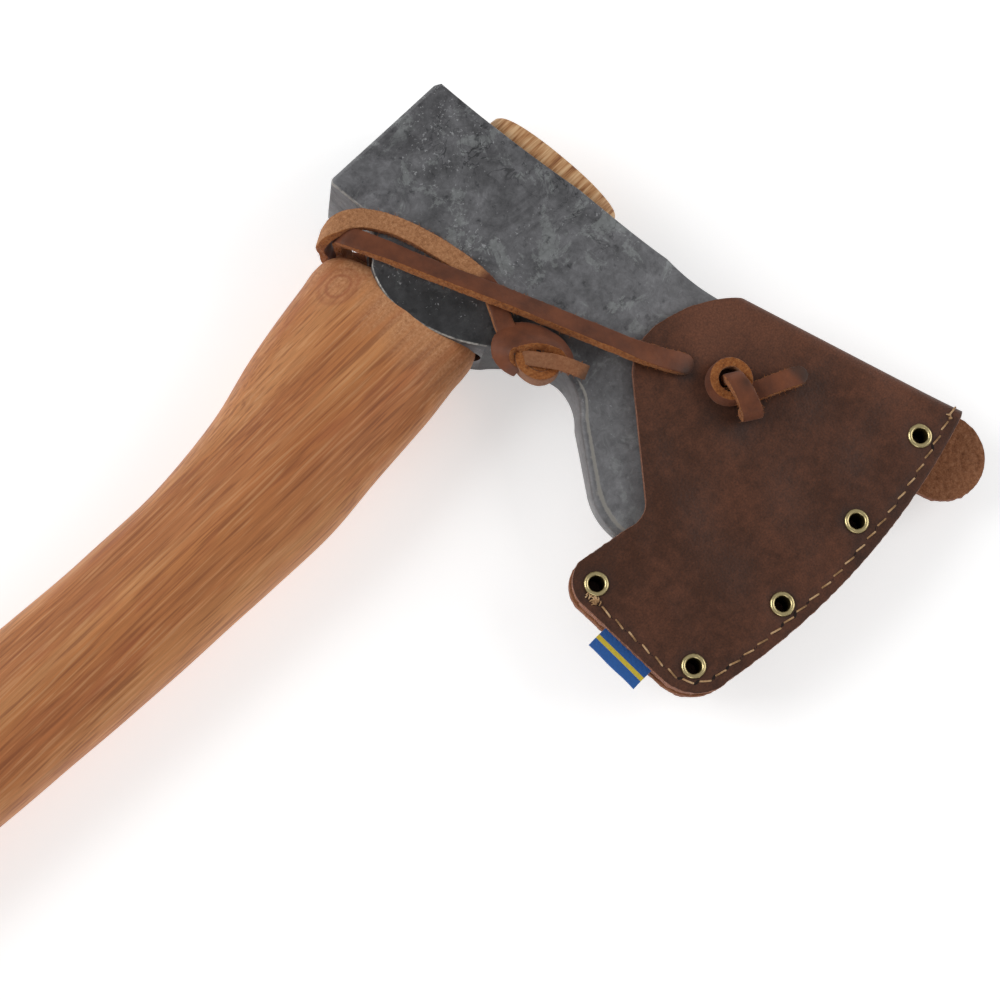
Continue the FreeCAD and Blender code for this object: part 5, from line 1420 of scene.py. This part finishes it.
def lace_piece(route, count, across, width=None, flip=False, start_round=0.0, end_round=0.0, seed=0):
    """A run of lace along a route of points, its grain side up, or down when flipped, and its loose fibres.

    Across is one direction, or one for each point. A rounded end narrows as half a circle over its length.
    """
    path = smooth_line(route, count) if len(route) != count else np.asarray(route)
    across = np.broadcast_to(unit(np.asarray(across, float)), path.shape)
    width = sizes().lace_width if width is None else width
    reach = np.concatenate([[0], np.cumsum(np.linalg.norm(np.diff(path, axis=0), axis=1))])
    narrow = np.ones(count)
    for span, gap in ((start_round, reach), (end_round, reach[-1] - reach)):
        if span:
            narrow = narrow * np.sqrt(1 - np.clip(1 - gap / span, 0, 0.97) ** 2)
    width = width * narrow * (1 + 0.02 * ripple(path, 14, count + seed))
    thickness = sizes().lace_thickness
    points, faces, top, cut = carried(path, across, width, thickness * (0.8 + 0.2 * narrow))
    points = points + (cut * 0.05 * ripple(points, 0.9, count + 1))[:, None]
    points = points + (0.06 * ripple(points, 6.0, count + 2))[:, None] * [0.3, 0.3, 1]
    grain = 1 - top if flip else top
    strip_marks = {"grain": grain, "cut": cut, "soil": 0 * cut}
    return joined((points, faces, strip_marks), fuzz(path, across, width, thickness, int(reach[-1] * 7), count))


def lace_band(lower, upper, count, **settings):
    """A run of lace between two guide lines, its outer and inner edges."""
    lower, upper = smooth_line(lower, count), smooth_line(upper, count)
    gap = lower - upper
    return lace_piece((lower + upper) / 2, count, gap, width=np.linalg.norm(gap, axis=-1), **settings)


class HATCHET_OT_lace(bpy.types.Operator):
    """Ties the lace round the neck of the head, with a stopper knot at each end"""

    bl_idname = "hatchet.lace"
    bl_label = "Lace"

    def execute(self, context):
        leather = oiled_lace()
        share = np.linspace(0, 1, 300)
        lean = 0.42 * ease(0.03, 0.1, share) * ease(0.44, 0.36, share)
        tilt = np.stack([np.full(300, -0.9), np.full(300, -0.436), lean], 1)
        over = lace_piece(np.array(LACE_OVER) + [0, 0, 0.3], 300, tilt, start_round=2.8)
        # painted shade on the lace's end where it dips into its slot
        over[2]["soil"] = 0.6 * ease(-60.2, -62.4, over[0][:, 1]) * ease(0, 4, over[0][:, 2])
        back = lace_piece(LACE_BACK, 310, (0.88, 0.47, 0), width=5.0, flip=True)
        turned_up = ease(-4, -11, back[0][:, 1]) * ease(10, 13, back[0][:, 2])
        back[2]["grain"] = np.maximum(back[2]["grain"], 0.62 * turned_up)
        for name, shape, node in (("tied_lace", joined(over, back), "lace"),
                                  ("stopper_knot_sheath", self.sheath_knot(), "lace_knot_sheath"),
                                  ("stopper_knot_neck", self.neck_knot(), "lace_knot_neck")):
            make_piece(name, shape, leather, "sheath", node, 60)
        return {"FINISHED"}

    def sheath_knot(self):
        """A turn of lace standing on its edge, a band folded out of its middle and over it, and the tail."""
        x, y = 37.0, -71.8
        floor = float(panel_half(x, y))
        angle = np.linspace(-1.35, -1.35 - 1.9 * np.pi, 28)
        ring = np.stack([x + 4.7 * np.cos(angle), y + 4.7 * np.sin(angle), floor + 2.45 + 0.2 * np.sin(angle)],
                        1)
        lean = np.stack([-0.1 * np.cos(angle), -0.1 * np.sin(angle), np.ones_like(angle)], 1)
        turn = lace_piece(smooth_line(ring, 150), 150, smooth_line(lean, 150), width=4.9, flip=True)
        band = lace_piece([(37.9, -71.6, floor + 1.0), (37.9, -71.6, floor + 3.4), (37.4, -72.3, floor + 5.4),
                           (36.7, -74.0, floor + 6.5), (36.0, -76.6, floor + 6.6), (35.2, -79.4, floor + 5.6),
                           (34.8, -81.3, floor + 3.8), (34.7, -81.9, floor + 1.8), (35.6, -80.4, floor + 0.3)],
                          96, (0.84, -0.5, 0), width=np.linspace(4.6, 5.7, 96))
        tail = lace_piece([(36.0, -76.6, floor + 1.8), (40.4, -78.6, floor + 2.5), (46.0, -81.0, floor + 2.7),
                           (52.9, -84.2, floor + 2.2)], 84, (-0.415, -0.91, 0), width=5.0, end_round=2.4,
                          flip=True)
        tail[2]["soil"] = ease(48.8, 51.0, tail[0][:, 0]) * 0.7
        middle_x, middle_y = (band[0][:, 0] - 37.6) / 1.5, (band[0][:, 1] + 75.0) / 1.8
        band[2]["soil"] = 0.5 * np.exp(-middle_x ** 2 - middle_y ** 2)
        return joined(turn, band, tail)

    def neck_knot(self):
        """A wide turn leaning outwards round a smaller one on its edge, and the tail, flesh side up."""
        outer = [(-2.2, -33.0, 13.6), (-3.2, -29.6, 14.0), (-2.6, -25.6, 14.2), (0.4, -22.7, 14.3),
                 (4.6, -22.9, 14.2), (8.6, -26.0, 14.0), (11.2, -31.0, 13.9), (11.9, -36.0, 13.7),
                 (10.4, -39.8, 13.5), (6.8, -41.4, 13.5)]
        inner = [(-0.6, -32.4, 16.6), (-0.9, -29.9, 17.6), (0.4, -28.9, 18.2), (2.0, -29.3, 18.4),
                 (3.9, -30.7, 18.5), (5.8, -32.6, 18.5), (7.4, -35.0, 18.2), (8.4, -37.2, 17.6),
                 (8.2, -38.8, 16.4), (6.6, -39.4, 15.4)]
        turn = lace_band(outer, inner, 150)
        small = [(4.4, -30.4, 15.2), (2.0, -30.0, 15.3), (-0.2, -32.0, 15.4), (-0.5, -35.2, 15.4),
                 (1.0, -38.2, 15.4), (3.8, -39.3, 15.3), (6.3, -38.4, 15.2), (7.4, -36.0, 15.1)]
        inner_turn = lace_piece(small, 110, (0.06, 0.06, 1.0), width=4.6, flip=True)
        nested = lace_piece([(4.8, -32.6, 15.4), (2.6, -32.8, 15.5), (1.9, -34.9, 15.5), (3.2, -36.8, 15.5),
                             (5.2, -36.2, 15.4), (5.6, -34.0, 15.3)], 70, (0.06, 0.06, 1.0), width=3.9,
                            flip=True)
        tail = lace_piece([(1.4, -31.6, 16.4), (3.0, -34.0, 17.6), (6.2, -38.4, 18.2), (8.2, -41.8, 17.9),
                           (9.9, -45.3, 17.2)], 80, (0.8, 0.5, 0.25), width=3.7, flip=True)
        tail[2]["soil"] = ease(-43.6, -45.6, tail[0][:, 1]) * 0.6
        for coil in (inner_turn, nested, tail):
            coil[2]["grain"] = np.maximum(coil[2]["grain"], 0.5)
        return joined(turn, inner_turn, nested, tail)


# ---------------------------------------------------------------- the stage
# the camera's place in millimetres from the head's middle, its turn in degrees and its lens in millimetres
CAMERA_PLACE = np.array([-161.06, -98.42, 565.75])
CAMERA_TURN = (12.889, -6.208, -45.702)
CAMERA_LENS = 82.9
SENSOR_WIDTH = 36.0
FLOOR_REACH, FLOOR_LEVEL = 6.0, -0.0008      # in metres
SKY_STRENGTH = 0.3
# place from the head, side and power of each soft light
LIGHTS = {"key_light": ((-0.9, 1.2, 1.1), 1.0, 16.0), "fill_light": ((1.3, -0.9, 1.0), 1.2, 10.0),
          "low_light": ((-1.3, -0.9, 0.6), 0.8, 3.0)}


class HATCHET_OT_stage(bpy.types.Operator):
    """Sets the floor, the soft lights and the camera"""

    bl_idname = "hatchet.stage"
    bl_label = "Stage"

    def execute(self, context):
        scene = context.scene
        mesh = bpy.data.meshes.new("studio_floor")
        signs = ((-1, -1), (1, -1), (1, 1), (-1, 1))
        corners = [(x * FLOOR_REACH, y * FLOOR_REACH, FLOOR_LEVEL) for x, y in signs]
        mesh.from_pydata(corners, [], [(0, 1, 2, 3)])
        mesh.materials.append(studio_floor())
        floor = new_object("studio_floor", mesh)
        world = bpy.data.worlds.new("studio")
        world.use_nodes = True
        sky = world.node_tree.nodes["Background"]
        sky.inputs["Color"].default_value = (1, 1, 1, 1)
        sky.inputs["Strength"].default_value = SKY_STRENGTH
        scene.world = world
        aim = Vector(HOME)
        for name, (place, side, power) in LIGHTS.items():
            light = bpy.data.lights.new(name, "AREA")
            light.shape = "SQUARE"
            light.size = side
            light.energy = power
            lamp = bpy.data.objects.new(name, light)
            lamp.location = aim + Vector(place)
            lamp.rotation_euler = (-Vector(place)).to_track_quat("-Z", "Y").to_euler()
            scene.collection.objects.link(lamp)
        lens = bpy.data.cameras.new("camera")
        lens.lens = CAMERA_LENS
        lens.sensor_width = SENSOR_WIDTH
        lens.clip_start = 0.01
        camera = bpy.data.objects.new("camera", lens)
        camera.location = HOME + CAMERA_PLACE * MM
        camera.rotation_euler = Euler([math.radians(angle) for angle in CAMERA_TURN])
        scene.collection.objects.link(camera)
        scene.camera = camera
        scene.view_settings.view_transform = "Standard"
        return {"FINISHED"}


STEPS = (HATCHET_OT_stage, HATCHET_OT_head, HATCHET_OT_handle, HATCHET_OT_sheath, HATCHET_OT_eyelets,
         HATCHET_OT_stitching, HATCHET_OT_label, HATCHET_OT_strap, HATCHET_OT_lace)


class HATCHET_PT_panel(bpy.types.Panel):
    """Lists the steps, the sizes and the colours"""

    bl_idname = "HATCHET_PT_panel"
    bl_label = "Hatchet"
    bl_space_type = "VIEW_3D"
    bl_region_type = "UI"
    bl_category = "Hatchet"

    def draw(self, context):
        for step in STEPS:
            self.layout.operator(step.bl_idname)
        for group in (context.scene.hatchet_sizes, context.scene.hatchet_colours):
            box = self.layout.box()
            for name in group.bl_rna.properties.keys():
                if name not in ("rna_type", "name"):
                    box.prop(group, name)


CLASSES = (HatchetSizes, HatchetColours, *STEPS, HATCHET_PT_panel)


def register():
    """Adds the classes and the scene's own properties."""
    for item in CLASSES:
        bpy.utils.register_class(item)
    bpy.types.Scene.hatchet_sizes = PointerProperty(type=HatchetSizes)
    bpy.types.Scene.hatchet_colours = PointerProperty(type=HatchetColours)


def unregister():
    """Takes them away again."""
    del bpy.types.Scene.hatchet_colours
    del bpy.types.Scene.hatchet_sizes
    for item in reversed(CLASSES):
        bpy.utils.unregister_class(item)


def main():
    """Builds every piece."""
    register()
    for step in STEPS:
        group, action = step.bl_idname.split(".")
        getattr(getattr(bpy.ops, group), action)()


if __name__ == "__main__":
    main()
